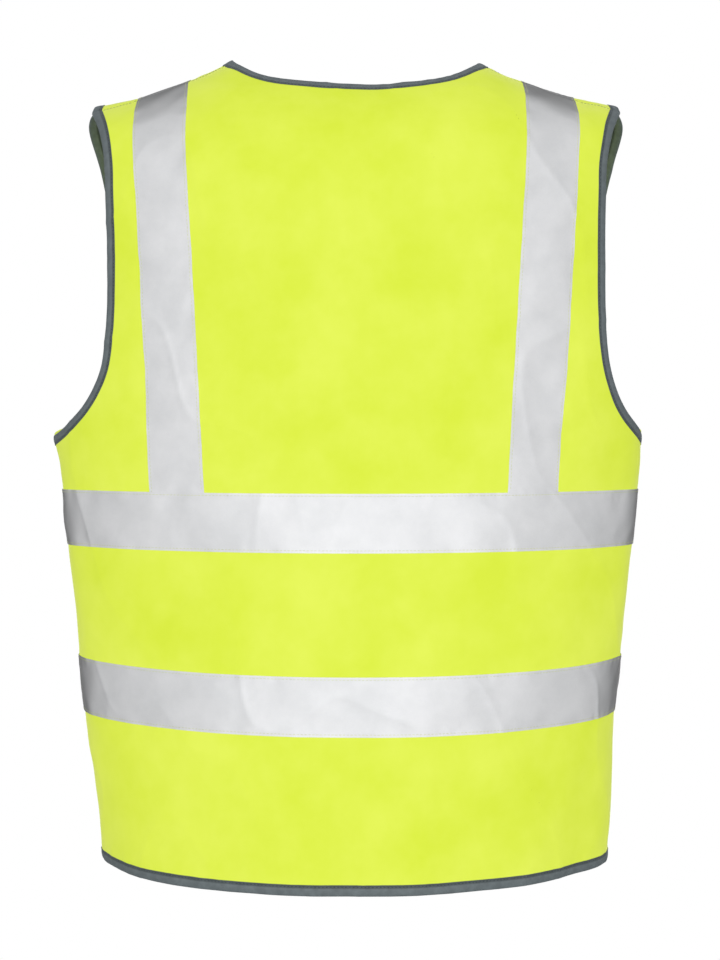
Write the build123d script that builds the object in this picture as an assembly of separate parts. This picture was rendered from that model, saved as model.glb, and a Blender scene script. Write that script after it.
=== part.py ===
from build123d import *
import os
from math import acos, asin, atan2, copysign, cos, degrees, hypot, pi, radians, sin, sqrt

# High visibility vest, size L/XL, shown filled out as when worn. Millimetres.
# Origin: middle of the neck opening, level with the top of the shoulders.
# The front faces -Y, the wearer's left is +X, and +Z is up.

# Form of the filled-out vest
HEM_Z = -731.0            # hem edge at the middle of the back and front
HEM_LIFT = 1.0            # the hem is this much higher at the sides
ARMPIT_Z = -346.0
CHEST_HALF_WIDTH = 269.5
SIDE_TAPER = 0.101        # half width lost for each millimetre below the armpit
TAPER_BLEND = 60.0
ROUND_Z = -130.0          # above this the cloth curves over to the shoulder ridge
TOP_DEPTH = 122.0         # front and back, from the side seam plane
HEM_DEPTH = {"back": 155.0, "front": 146.0}
DEPTH_BLEND = 30.0
FACING = {"back": 1.0, "front": -1.0}
NECK_HALF_WIDTH = 112.0
NECK_BACK_DEPTH = 80.0
NECK_SQUARENESS = 2.5     # exponent of the superellipse of the back neckline
NECK_FRONT = [(87.0, -62.0), (48.0, -137.0), (4.0, -209.0)]   # the V below the neck corner
SLOPE_START_X = 110.0
SHOULDER_DROP = 49.0      # of the ridge, from the neck to the armhole
DROP_EASE = 0.75          # the ridge falls faster near the neck
RIDGE_BLEND = 6.0
TENT_DROP = 24.0          # the cloth falls away from the ridge like a tent
TENT_BLEND = 0.06
SEAM_Y = 19.0             # the shoulder seam lies this far behind the ridge
SEAM_GAP = 0.4            # between pieces on the two sides of a seam

# Armhole edges seen square on, as (x, z) from the shoulder tip to the side seam
SHOULDER_TIP = (240.0, -50.5)
SIDE_TOP_X = CHEST_HALF_WIDTH - SIDE_TAPER * TAPER_BLEND / 2
ARMHOLE = {
    "back": [
        SHOULDER_TIP, (225.0, -78.0), (219.5, -140.0), (219.0, -235.0),
        (226.0, -292.0), (244.0, -325.0), (SIDE_TOP_X, ARMPIT_Z),
    ],
    "front": [
        SHOULDER_TIP, (248.0, -60.0), (246.5, -82.0), (239.0, -115.0), (227.0, -172.0),
        (220.0, -235.0), (227.0, -292.0), (244.0, -325.0), (SIDE_TOP_X, ARMPIT_Z),
    ],
}

# Cloth layers, as offsets outwards from the form
PANEL = (0.0, 0.6)
TAPE = (0.75, 1.15)
BINDING = (-0.75, 1.35)
BINDING_CORE = (-0.15, 0.75)
BINDING_WIDTH = 9.0
BINDING_FOLD = 0.6        # the binding reaches this far past the panel's edge
BINDING_AIR = 0.15
LABEL = (-1.1, -0.8)

# Reflective tape
TAPE_WIDTH = 50.0
UPPER_BAND = {"middle_z": -421.5, "side_lift": 2.5}
LOWER_BAND = {"middle_z": -575.0, "side_lift": 6.0}
BRACE_TOP = (177.5, 0.0)     # (x, z) of the brace's middle line
BRACE_BOTTOM = (153.0, -396.0)

# Separating zip, measured from the middle line of its chain
FRONT_EDGE_X = 6.5        # the front panels stop here
ZIP_DEPTH = 1.6           # the chain's middle plane lies this far inside the form
ZIP_TAPE_X = (2.6, 17.0)
ZIP_TAPE_OUT = 0.22       # half thickness of the tape
TOOTH_X = (0.6, 3.9)
TOOTH_OUT = 1.25          # half thickness of the chain
TOOTH_HEIGHT = 1.1
TOOTH_PITCH = 2.6
TOOTH_SLOT = (2.45, 0.5)     # where the tape enters a tooth, and half the slot's height
ZIP_TOP_Z = -210.0
STOP_HEIGHT = 2.6
SLIDER_HEIGHT = 15.0
ZIP_AIR = 0.5             # free length between slider, stops, teeth and box
BOX_BOTTOM_Z = -729.0
BOX_HEIGHT = 8.0
BOX_HALF_WIDTH = 5.0
BOX_OUT = 2.4
BOX_CORNER = 0.8
PIN_HEIGHT = 14.0
PIN_X = (0.6, 2.4)
PIN_OUT = 0.9
PIN_CHAMFER = 0.3
PIN_ROOT = 1.0            # the fixed pin starts this far inside the box
PIN_SEAT = 5.5            # depth of the insertion pin in the box
SOCKET_AIR = 0.3

# Slider and pull tab, out from the chain's middle plane
SLIDER_TOP_HALF_WIDTH = 5.5
SLIDER_FOOT_HALF_WIDTH = 4.9
SLIDER_PLATE = (1.9, 3.2)
SLIDER_LIP_X = 4.2
SLIDER_LIP_OUT = 0.75
SLIDER_POST_X = 0.25
SLIDER_POST_Z = 2.0
SLIDER_CORNER = 1.2
BAIL_OUT = 4.3            # the tab's hinge line
BAIL_RADII = (1.8, 3.0)
BAIL_HALF_WIDTH = 0.9
TAB_LENGTH = 27.0
TAB_HALF_WIDTH = 3.5
TAB_THICKNESS = 1.5
TAB_CORNER = 2.8
TAB_WINDOW = (1.3, 3.5)
TAB_HOLE_RADIUS = 1.6

# Labels sewn inside the back, with nothing printed on them
NECK_LABEL = {"width": 55.0, "top_z": -60.0, "bottom_z": -100.0}
CARE_LABEL = {"near_y": 9.0, "far_y": 41.0, "top_z": -610.0, "bottom_z": -675.0}

# Heights along the chain, from its top
BOX_TOP = BOX_BOTTOM_Z - ZIP_TOP_Z + BOX_HEIGHT
SLIDER_REST = -STOP_HEIGHT - ZIP_AIR - SLIDER_HEIGHT / 2

# How finely the form is sampled
LEVELS = 17               # closer together towards the shoulder seam
LEVEL_CROWDING = 1.8
COLUMNS = 13
EDGE_SAMPLES = 14
NECK_SAMPLES = 21
SIDE_ANGLE = pi / 2
SHOULDER_ANGLE = radians(72.0)
NARROWING = (-340.0, -250.0)   # the form's patch narrows from the first z to the second
PATCH_LAP = 4.0
REACH = 400.0             # past the vest from its middle, across and in depth
TALL = 1200.0             # taller than the vest
NECK_CUT_X = -100.0       # the front neck cut runs past the middle to here
PRISM_LAP = 25.0          # prisms start this far past the side seam plane
RUN_OUT = 27.0            # cutting lines run this far past their ends
PROBE = 0.5               # step for slopes of the form
STEP = 1e-4               # step for slopes of the patch
SETTLING_STEPS = 12
HALVINGS = 40
ARC_X = 275.0             # the bands' arcs are drawn out to here
SPLIT_Z = -250.0          # the shoulder seam is above this, the side seam below


def soft_step(distance, blend):
    """Nought before zero, the distance after it, with a smooth bend between."""
    return (distance + hypot(distance, blend)) / 2


def half_width(z):
    return CHEST_HALF_WIDTH - SIDE_TAPER * soft_step(ARMPIT_Z - z, TAPER_BLEND)


def depth(z, side):
    flare = (HEM_DEPTH[side] - TOP_DEPTH) / (ROUND_Z - HEM_Z)
    return TOP_DEPTH + flare * soft_step(ROUND_Z - z, DEPTH_BLEND)


def ridge_height(x):
    """Height of the shoulder ridge, across from the neck."""
    out = soft_step(abs(x) - SLOPE_START_X, RIDGE_BLEND) / (SHOULDER_TIP[0] - SLOPE_START_X)
    return -SHOULDER_DROP * out ** DROP_EASE


def shoulder_drop(x, rise):
    """How the cloth falls with the ridge, and away from it to the back and front."""
    tent = TENT_DROP * (hypot(cos(rise), TENT_BLEND) - TENT_BLEND)
    return (ridge_height(x) - tent) * sin(rise) ** 2


def flat_height(level):
    """Height of a level on the form before the shoulder slope is added."""
    rise = max(level, 0.0) / -ROUND_Z
    return ROUND_Z + min(level, 0.0) - ROUND_Z * sin(rise)


def form_point(angle, level, side):
    """Point at an angle round from the middle and a level up the cloth from ROUND_Z."""
    rise = max(level, 0.0) / -ROUND_Z
    z = flat_height(level)
    x = half_width(z) * sin(angle)
    y = FACING[side] * depth(z, side) * cos(angle) * cos(rise)
    return Vector(x, y, z + shoulder_drop(x, rise))


def widest_angle(level):
    """The side seam below the armpit, narrowing to just past the shoulder tip."""
    z = flat_height(min(level, -ROUND_Z * pi / 2))
    share = (z - NARROWING[0]) / (NARROWING[1] - NARROWING[0])
    share = min(max(share, 0.0), 1.0)
    return SIDE_ANGLE + (SHOULDER_ANGLE - SIDE_ANGLE) * share * share * (3 - 2 * share)


def patch_spot(across, up, side):
    """Patch of the form: across from -1 to 1, up from the hem to past the shoulder seam."""
    over = SEAM_Y - FACING[side] * PATCH_LAP
    reach = TOP_DEPTH * cos(across * SHOULDER_ANGLE)
    top = -ROUND_Z * (pi / 2 - FACING[side] * asin(over / reach))
    bottom = HEM_Z - ROUND_Z - PATCH_LAP
    level = top + (bottom - top) * (1 - up) ** LEVEL_CROWDING
    return form_point(across * widest_angle(level), level, side)


def patch_point(across, up, side, offset):
    """Point of the patch, moved outwards by the offset."""
    left, right = max(across - STEP, -1.0), min(across + STEP, 1.0)
    along = patch_spot(right, up, side) - patch_spot(left, up, side)
    upward = patch_spot(across, min(up + STEP, 1.0), side) - patch_spot(across, max(up - STEP, 0.0), side)
    outward = along.cross(upward).normalized() * -FACING[side]
    return patch_spot(across, up, side) + outward * offset


def layer(side, offsets):
    """Closed shell of cloth between two offsets from the form."""
    sections = []
    borders = []
    for row in range(LEVELS):
        up = row / (LEVELS - 1)
        curves = []
        for offset in offsets:
            points = [
                patch_point(2 * column / (COLUMNS - 1) - 1, up, side, offset)
                for column in range(COLUMNS)
            ]
            curves.append(Spline(*points).edge())
        ends = [Line(curves[0] @ end, curves[1] @ end).edge() for end in (0, 1)]
        sections.append(Wire(curves + ends))
        borders.append(curves)
    walls = list(Solid.make_loft(sections).faces())
    caps = [Face.make_surface_from_curves(*borders[row]) for row in (0, -1)]
    return Solid(Shell(walls + caps))


def rise_at(x, z):
    """How far round to the ridge the form has turned at a place seen square on."""
    low, high = 0.0, pi / 2
    for _ in range(HALVINGS):
        middle = (low + high) / 2
        if ROUND_Z - ROUND_Z * sin(middle) + shoulder_drop(x, middle) < z:
            low = middle
        else:
            high = middle
    return low


def form_y(x, z, side):
    """Depth of the form at a place seen square on."""
    rise = 0.0 if z <= ROUND_Z else rise_at(x, z)
    z_flat = min(z, ROUND_Z) - ROUND_Z * sin(rise)
    across = min(abs(x) / half_width(z_flat), 1.0)
    return FACING[side] * depth(z_flat, side) * sqrt(1 - across ** 2) * cos(rise)


def plan_z(x, y, side):
    """Height of the form in the shoulder region at a place seen from above."""
    z_flat = ROUND_Z
    rise = 0.0
    for _ in range(SETTLING_STEPS):
        across = x / half_width(z_flat)
        reach = depth(z_flat, side) * sqrt(1 - across ** 2)
        rise = acos(min(abs(y) / reach, 1.0))
        z_flat = ROUND_Z - ROUND_Z * sin(rise)
    return z_flat + shoulder_drop(x, rise)


def sweep_across(one, other, side):
    """Prism along Y from the area between two chains seen square on."""
    ends = [Line(one[0] @ 0, other[0] @ 0).edge(), Line(one[-1] @ 1, other[-1] @ 1).edge()]
    return Solid.extrude(Face(Wire(one + other + ends)), Vector(0, FACING[side] * REACH, 0))


def line_points(outline, side):
    """Evenly spaced points of an (x, z) outline, raised on to the form."""
    spots = [outline @ (i / (EDGE_SAMPLES - 1)) for i in range(EDGE_SAMPLES)]
    return [Vector(p.X, form_y(p.X, p.Z, side), p.Z) for p in spots]


def outline_curve(spots):
    return Spline(*[Vector(x, 0, z) for x, z in spots]).edge()


def beside(points, shift, side):
    """Points moved along the cloth, towards +X of a line that runs down it."""
    moved = []
    last = len(points) - 1
    for i, point in enumerate(points):
        along = points[min(i + 1, last)] - points[max(i - 1, 0)]
        x, z = point.X, point.Z
        slope_x = form_y(x + PROBE, z, side) - form_y(x - PROBE, z, side)
        slope_z = form_y(x, z + PROBE, side) - form_y(x, z - PROBE, side)
        outward = Vector(-slope_x, 2 * PROBE, -slope_z) * FACING[side]
        moved.append(point + along.cross(outward).normalized() * shift * FACING[side])
    return moved


def square_on(points, side):
    """Chain of edges through points seen square on, run out straight past both ends."""
    y = -FACING[side] * PRISM_LAP
    flat = [Vector(p.X, y, p.Z) for p in points]
    before = flat[0] + (flat[0] - flat[1]).normalized() * RUN_OUT
    after = flat[-1] + (flat[-1] - flat[-2]).normalized() * RUN_OUT
    return [Line(before, flat[0]).edge(), Spline(*flat).edge(), Line(flat[-1], after).edge()]


def strip(outline, low, high, side):
    """Prism over the cloth between two distances from an outline."""
    points = line_points(outline, side)
    one = square_on(beside(points, low, side), side)
    other = square_on(beside(points, high, side), side)
    return sweep_across(one, other, side)


def beyond(outline, shift, corners, side):
    """Prism over everything past an outline, closed through (x, z) corners."""
    chain = square_on(beside(line_points(outline, side), shift, side), side)
    y = -FACING[side] * PRISM_LAP
    stops = [chain[-1] @ 1] + [Vector(x, y, z) for x, z in corners] + [chain[0] @ 0]
    closing = [Line(a, b).edge() for a, b in zip(stops, stops[1:])]
    return Solid.extrude(Face(Wire(chain + closing)), Vector(0, FACING[side] * REACH, 0))


def mirrored(shape):
    return mirror(shape, about=Plane.YZ)


def box_between(low, high):
    size = [b - a for a, b in zip(low, high)]
    centre = [(a + b) / 2 for a, b in zip(low, high)]
    return Pos(*centre) * Box(*size)


def armhole_line(side):
    return outline_curve(ARMHOLE[side])


def armhole_cut(side):
    top = -HEM_Z
    start_x = SHOULDER_TIP[0] + (RUN_OUT if side == "back" else -RUN_OUT)
    corners = [(REACH, ARMPIT_Z - RUN_OUT), (REACH, top), (start_x, top)]
    return beyond(armhole_line(side), 0.0, corners, side)


def front_neck_line():
    return outline_curve([(NECK_HALF_WIDTH, ridge_height(NECK_HALF_WIDTH)), *NECK_FRONT])


def neck_plan(shift):
    """Chain round the back neckline seen from above, run out straight past the seam."""
    points = []
    for i in range(NECK_SAMPLES):
        turn = pi * i / (NECK_SAMPLES - 1)
        across, back = cos(turn), sin(turn)
        x = NECK_HALF_WIDTH * copysign(abs(across) ** (2 / NECK_SQUARENESS), across)
        y = NECK_BACK_DEPTH * abs(back) ** (2 / NECK_SQUARENESS)
        points.append(Vector(x, y, plan_z(x, y, "back")))
    moved = []
    last = len(points) - 1
    for i, point in enumerate(points):
        along = points[min(i + 1, last)] - points[max(i - 1, 0)]
        slope_x = plan_z(point.X + PROBE, point.Y, "back") - plan_z(point.X - PROBE, point.Y, "back")
        slope_y = plan_z(point.X, point.Y + PROBE, "back") - plan_z(point.X, point.Y - PROBE, "back")
        outward = Vector(-slope_x, -slope_y, 2 * PROBE)
        moved.append(point + along.cross(outward).normalized() * shift)
    flat = [Vector(p.X, p.Y, -REACH / 2) for p in moved]
    ends = [Vector(p.X, -PRISM_LAP, p.Z) for p in (flat[0], flat[-1])]
    return [Line(ends[0], flat[0]).edge(), Spline(*flat).edge(), Line(flat[-1], ends[1]).edge()]


def neck_cut():
    chain = neck_plan(0.0)
    closing = Line(chain[-1] @ 1, chain[0] @ 0).edge()
    return Solid.extrude(Face(Wire(chain + [closing])), Vector(0, 0, REACH))


def neck_strip(low, high):
    one, other = neck_plan(low), neck_plan(high)
    ends = [Line(one[0] @ 0, other[0] @ 0).edge(), Line(one[-1] @ 1, other[-1] @ 1).edge()]
    return Solid.extrude(Face(Wire(one + other + ends)), Vector(0, 0, REACH))


def arc_edge(middle_z, side_lift, shift, side):
    """Arc seen square on, level at the middle and higher at the sides."""
    y = -FACING[side] * PRISM_LAP
    ends = [Vector(x, y, middle_z + side_lift + shift) for x in (-ARC_X, ARC_X)]
    return ThreePointArc(ends[0], Vector(0, y, middle_z + shift), ends[1]).edge()


def arc_band(middle_z, side_lift, low, high, side):
    """Prism over the cloth between two heights from an arc."""
    one = [arc_edge(middle_z, side_lift, low, side)]
    other = [arc_edge(middle_z, side_lift, high, side)]
    return sweep_across(one, other, side)


def side_block(side):
    """Everything on one side of the shoulder and side seams."""
    facing, gap = FACING[side], FACING[side] * SEAM_GAP / 2
    spots = [
        (SEAM_Y + gap, REACH), (SEAM_Y + gap, SPLIT_Z), (gap, SPLIT_Z),
        (gap, -TALL), (facing * REACH, -TALL), (facing * REACH, REACH),
    ]
    start_x = -REACH if side == "back" else FRONT_EDGE_X
    corners = [Vector(start_x, y, z) for y, z in spots]
    return Solid.extrude(Face(Wire.make_polygon(corners)), Vector(REACH - start_x, 0, 0))


def trimmed_layers(side, block):
    """The cloth layers of one side, cut at its seams."""
    offsets = {"panel": PANEL, "tape": TAPE, "binding": BINDING, "core": BINDING_CORE}
    return {name: layer(side, low_high) & block for name, low_high in offsets.items()}


def hem_zone(low, high, side):
    return arc_band(HEM_Z, HEM_LIFT, low, high, side)


def bound_edge(layers, outer_zone, core_zone):
    """Binding folded round an edge: a U of cloth that opens towards the panel."""
    return (layers["binding"] & outer_zone) - (layers["core"] & core_zone)


def armhole_binding(layers, side):
    line = armhole_line(side)
    outer = strip(line, -BINDING_WIDTH, BINDING_FOLD, side)
    core = strip(line, -BINDING_WIDTH - BINDING_FOLD, BINDING_AIR, side)
    return bound_edge(layers, outer, core)


def hem_binding(layers, side):
    outer = hem_zone(-BINDING_FOLD, BINDING_WIDTH, side)
    core = hem_zone(-BINDING_AIR, BINDING_WIDTH + BINDING_FOLD, side)
    return bound_edge(layers, outer, core)


def reflective_band(layers, band, side):
    zone = arc_band(band["middle_z"], band["side_lift"], -TAPE_WIDTH / 2, TAPE_WIDTH / 2, side)
    return layers["tape"] & zone


def brace(layers, side):
    """Tape from the shoulder seam down to the top of the upper band."""
    zone = strip(outline_curve([BRACE_TOP, BRACE_BOTTOM]), -TAPE_WIDTH / 2, TAPE_WIDTH / 2, side)
    foot = TAPE_WIDTH / 2 + SEAM_GAP
    above = arc_band(UPPER_BAND["middle_z"], UPPER_BAND["side_lift"], foot, TALL, side)
    return layers["tape"] & zone & above


def back_pieces():
    layers = trimmed_layers("back", side_block("back"))
    armhole = armhole_cut("back")
    panel = layers["panel"] & hem_zone(0.0, TALL, "back")
    panel = panel - armhole - mirrored(armhole) - neck_cut()
    neck = bound_edge(
        layers,
        neck_strip(-BINDING_FOLD, BINDING_WIDTH),
        neck_strip(-BINDING_AIR, BINDING_WIDTH + BINDING_FOLD),
    )
    left_brace = brace(layers, "back")
    left_armhole = armhole_binding(layers, "back")
    return {
        "back_panel": panel,
        "upper_band_back": reflective_band(layers, UPPER_BAND, "back"),
        "lower_band_back": reflective_band(layers, LOWER_BAND, "back"),
        "left_brace_back": left_brace,
        "right_brace_back": mirrored(left_brace),
        "neck_binding_back": neck,
        "left_armhole_binding_back": left_armhole,
        "right_armhole_binding_back": mirrored(left_armhole),
        "hem_binding_back": hem_binding(layers, "back"),
    }


def label_pieces():
    cloth = layer("back", LABEL)
    half = NECK_LABEL["width"] / 2
    neck_box = box_between((-half, 0, NECK_LABEL["bottom_z"]), (half, REACH, NECK_LABEL["top_z"]))
    care_box = box_between(
        (0, CARE_LABEL["near_y"], CARE_LABEL["bottom_z"]),
        (REACH, CARE_LABEL["far_y"], CARE_LABEL["top_z"]),
    )
    return {"neck_label": cloth & neck_box, "care_label": cloth & care_box}


def front_pieces():
    """The pieces of the wearer's left front; the right front is its mirror image."""
    layers = trimmed_layers("front", side_block("front"))
    neck_line = front_neck_line()
    neck_corners = [(NECK_CUT_X, NECK_FRONT[-1][1]), (NECK_CUT_X, REACH), (REACH / 2, REACH)]
    panel = layers["panel"] & hem_zone(0.0, TALL, "front")
    panel = panel - armhole_cut("front") - beyond(neck_line, 0.0, neck_corners, "front")
    neck = bound_edge(
        layers,
        strip(neck_line, -BINDING_FOLD, BINDING_WIDTH, "front"),
        strip(neck_line, -BINDING_AIR, BINDING_WIDTH + BINDING_FOLD, "front"),
    )
    return {
        "{side}_front_panel": panel,
        "upper_band_{side}_front": reflective_band(layers, UPPER_BAND, "front"),
        "lower_band_{side}_front": reflective_band(layers, LOWER_BAND, "front"),
        "{side}_brace_front": brace(layers, "front"),
        "neck_binding_{side}_front": neck,
        "{side}_armhole_binding_front": armhole_binding(layers, "front"),
        "hem_binding_{side}_front": hem_binding(layers, "front"),
    }


def on_chain(shape):
    """Moves a shape from chain coordinates, top of the chain at nought, to its place."""
    top_y = form_y(0, ZIP_TOP_Z, "front") + ZIP_DEPTH
    foot_y = form_y(0, BOX_BOTTOM_Z, "front") + ZIP_DEPTH
    lean = degrees(atan2(foot_y - top_y, ZIP_TOP_Z - BOX_BOTTOM_Z))
    return Pos(0, top_y, ZIP_TOP_Z) * Rot(lean, 0, 0) * shape


def chain_box(x_range, out, z_range):
    return box_between((x_range[0], -out, z_range[0]), (x_range[1], out, z_range[1]))


def zip_tape():
    """Tape beside the chain, from the foot of the box to past the top stop."""
    return chain_box(ZIP_TAPE_X, ZIP_TAPE_OUT, (BOX_TOP - BOX_HEIGHT, STOP_HEIGHT))


def notched_for_box(tape):
    """The right tape stops short beside the box, which is fixed to the left tape."""
    side_x = BOX_HALF_WIDTH + ZIP_AIR
    return tape - chain_box((-side_x, side_x), BOX_OUT, (-TALL, BOX_TOP + ZIP_AIR))


def tooth():
    slot_x, slot_out = TOOTH_SLOT
    body = chain_box(TOOTH_X, TOOTH_OUT, (0, TOOTH_HEIGHT))
    slot = chain_box((slot_x, TOOTH_X[1] + 1), slot_out, (-1, TOOTH_HEIGHT + 1))
    return body - slot


def zip_teeth(stagger):
    """A row of teeth from above the pins to just under the top stop."""
    one = tooth()
    lowest = BOX_TOP + PIN_HEIGHT + ZIP_AIR + stagger
    count = int((-STOP_HEIGHT - ZIP_AIR - TOOTH_HEIGHT - lowest) / TOOTH_PITCH)
    row = [Pos(0, 0, lowest + i * TOOTH_PITCH) * one for i in range(count)]
    return on_chain(Compound(children=[part.solid() for part in row]))


def top_stop():
    slot_x, slot_out = TOOTH_SLOT
    body = chain_box(TOOTH_X, TOOTH_OUT, (-STOP_HEIGHT, 0))
    slot = chain_box((slot_x, TOOTH_X[1] + 1), slot_out, (-STOP_HEIGHT - 1, 1))
    return on_chain(body - slot)


def retainer_box():
    """Box sewn to the left tape, with its fixed pin and the socket of the loose pin."""
    body = chain_box((-BOX_HALF_WIDTH, BOX_HALF_WIDTH), BOX_OUT, (BOX_TOP - BOX_HEIGHT, BOX_TOP))
    body = fillet(body.edges().filter_by(Axis.Z), BOX_CORNER)
    slot_out = TOOTH_SLOT[1]
    tape_slot = chain_box((TOOTH_SLOT[0], REACH), slot_out, (BOX_TOP - REACH, REACH))
    socket_x = (-PIN_X[1] - SOCKET_AIR, -PIN_X[0] + SOCKET_AIR)
    floor = BOX_TOP - PIN_SEAT - SOCKET_AIR
    socket = chain_box(socket_x, PIN_OUT + SOCKET_AIR, (floor, REACH))
    fixed_pin = chain_box(PIN_X, PIN_OUT, (BOX_TOP - PIN_ROOT, BOX_TOP + PIN_HEIGHT))
    return on_chain(body - socket + fixed_pin - tape_slot)


def insertion_pin():
    x_range = (-PIN_X[1], -PIN_X[0])
    pin = chain_box(x_range, PIN_OUT, (BOX_TOP - PIN_SEAT, BOX_TOP + PIN_HEIGHT))
    return on_chain(chamfer(pin.faces().sort_by(Axis.Z)[0].edges(), PIN_CHAMFER))


def plate(spots, out_low, out_high):
    """Flat plate over an (x, z) outline, between two distances out from the chain."""
    face = Face(Wire.make_polygon([Vector(x, -out_low, z) for x, z in spots]))
    return Solid.extrude(face, Vector(0, out_low - out_high, 0))


def slider_outline(top_x, foot_x):
    """The slider's outline, from a line on its -X side to its full width on the other."""
    half = SLIDER_HEIGHT / 2
    top, foot = SLIDER_TOP_HALF_WIDTH, SLIDER_FOOT_HALF_WIDTH
    return [(top_x, half), (top, half), (foot, -half), (foot_x, -half)]


def bail():
    """Arch on the slider's front that the pull tab hangs from."""
    inner, outer = BAIL_RADII
    ring = Cylinder(outer, 2 * BAIL_HALF_WIDTH) - Cylinder(inner, 4 * BAIL_HALF_WIDTH)
    ring = Pos(0, -BAIL_OUT, 0) * Rot(0, 90, 0) * ring
    root = (SLIDER_PLATE[0] + SLIDER_PLATE[1]) / 2
    return ring & box_between((-outer, -REACH, -outer), (outer, -root, outer))


def zip_slider():
    """Two plates joined by the post, with lips that hold the chain in."""
    low, high = SLIDER_PLATE
    lip = plate(slider_outline(SLIDER_LIP_X, SLIDER_LIP_X), SLIDER_LIP_OUT, low)
    shell = plate(slider_outline(-SLIDER_TOP_HALF_WIDTH, -SLIDER_FOOT_HALF_WIDTH), low, high)
    shell = fillet(shell.edges().filter_by(Axis.Y), SLIDER_CORNER)
    half_slider = shell + lip + mirrored(lip)
    post = chain_box((-SLIDER_POST_X, SLIDER_POST_X), low, (SLIDER_POST_Z, SLIDER_HEIGHT / 2))
    whole = half_slider + mirror(half_slider, about=Plane.XZ) + post + bail()
    return on_chain(Pos(0, 0, SLIDER_REST) * whole)


def pull_tab():
    """Tab that hangs from the slider's bail by a round bar."""
    window_x, window_z = TAB_WINDOW
    half = TAB_THICKNESS / 2
    body = chain_box((-TAB_HALF_WIDTH, TAB_HALF_WIDTH), half, (-TAB_LENGTH, 0))
    feet = body.edges().filter_by(Axis.Y).group_by(Axis.Z)[0]
    body = fillet(feet, TAB_CORNER)
    bar = Rot(0, 90, 0) * Cylinder(half, 2 * TAB_HALF_WIDTH)
    window = chain_box((-window_x, window_x), TAB_THICKNESS, (-window_z, 0))
    hole = Pos(0, 0, TAB_HALF_WIDTH - TAB_LENGTH) * Rot(90, 0, 0) * Cylinder(TAB_HOLE_RADIUS, REACH)
    tab = body - window - hole + bar
    return on_chain(Pos(0, -BAIL_OUT, SLIDER_REST) * tab)


def all_pieces():
    pieces = back_pieces() | label_pieces()
    for name, piece in front_pieces().items():
        pieces[name.format(side="left")] = piece
        pieces[name.format(side="right")] = mirrored(piece)
    pieces["zip_tape_left"] = on_chain(zip_tape())
    pieces["zip_tape_right"] = on_chain(notched_for_box(mirrored(zip_tape())))
    pieces["zip_teeth_left"] = zip_teeth(0.0)
    pieces["zip_teeth_right"] = mirrored(zip_teeth(TOOTH_PITCH / 2))
    pieces["top_stop_left"] = top_stop()
    pieces["top_stop_right"] = mirrored(top_stop())
    pieces["retainer_box"] = retainer_box()
    pieces["insertion_pin"] = insertion_pin()
    pieces["zip_slider"] = zip_slider()
    pieces["zip_pull_tab"] = pull_tab()
    return pieces


os.makedirs("parts", exist_ok=True)
for node, shape in all_pieces().items():
    export_step(shape, f"parts/{node}.step")
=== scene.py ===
import math

import bmesh
import bpy
import numpy as np
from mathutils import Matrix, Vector


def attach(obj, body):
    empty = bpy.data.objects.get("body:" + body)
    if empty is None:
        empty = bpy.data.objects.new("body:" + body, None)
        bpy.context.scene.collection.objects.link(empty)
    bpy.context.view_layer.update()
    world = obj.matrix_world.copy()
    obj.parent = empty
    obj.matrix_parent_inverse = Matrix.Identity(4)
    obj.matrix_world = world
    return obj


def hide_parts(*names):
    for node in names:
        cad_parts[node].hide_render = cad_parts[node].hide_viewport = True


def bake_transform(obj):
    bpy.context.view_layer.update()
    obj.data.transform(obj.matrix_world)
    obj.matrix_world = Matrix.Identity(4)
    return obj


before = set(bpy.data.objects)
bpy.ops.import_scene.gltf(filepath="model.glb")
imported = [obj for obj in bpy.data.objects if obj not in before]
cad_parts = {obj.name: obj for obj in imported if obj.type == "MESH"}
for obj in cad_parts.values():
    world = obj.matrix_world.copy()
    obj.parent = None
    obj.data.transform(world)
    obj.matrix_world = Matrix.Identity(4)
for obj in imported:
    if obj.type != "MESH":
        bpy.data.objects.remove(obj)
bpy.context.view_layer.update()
MM = 0.001

# Form of the filled-out vest, in metres: the same one that the CAD pieces follow
HEM_Z = -0.731
HEM_LIFT = 0.001
ARC_X = 0.275
ARMPIT_Z = -0.346
CHEST_HALF_WIDTH = 0.2695
SIDE_TAPER = 0.101
TAPER_BLEND = 0.060
ROUND_Z = -0.130
TOP_DEPTH = 0.122
HEM_DEPTH = {"back": 0.155, "front": 0.146}
SWAY_X = 0.0043
SWAY_Z = (-0.70, -0.60, -0.36, -0.28)
SWAY_START_X = 0.13
SWAY_FULL_X = 0.24
LEFT_FLARE = 0.006
FLARE_REACH = 0.022
TIP_LIFT = 0.0045                   # the bound shoulder tips stand up a little
TIP_X = (0.195, 0.240)
TIP_Z = (-0.120, -0.070)
DEPTH_BLEND = 0.030
FACING = {"back": 1.0, "front": -1.0}
NECK_HALF_WIDTH = 0.112
NECK_BACK_DEPTH = 0.080
NECK_SQUARENESS = 2.5
NECK_FRONT = [(0.087, -0.062), (0.048, -0.137), (0.004, -0.209)]
SLOPE_START_X = 0.110
SHOULDER_DROP = 0.049               # of the ridge, from the neck to the armhole
DROP_EASE = 0.75                    # the ridge falls faster near the neck
RIDGE_BLEND = 0.006
TENT_DROP = 0.024                   # the cloth falls away from the ridge like a tent
TENT_BLEND = 0.06
SEAM_Y = 0.019
SHOULDER_TIP = (0.240, -0.0505)
BACK_TIP = (0.240, -0.0572)         # where the armhole leaves the back, at the seam behind the tip
SHOULDER_SLOPE = math.radians(17.0)
SIDE_TOP = (CHEST_HALF_WIDTH - SIDE_TAPER * TAPER_BLEND / 2, ARMPIT_Z)
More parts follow.
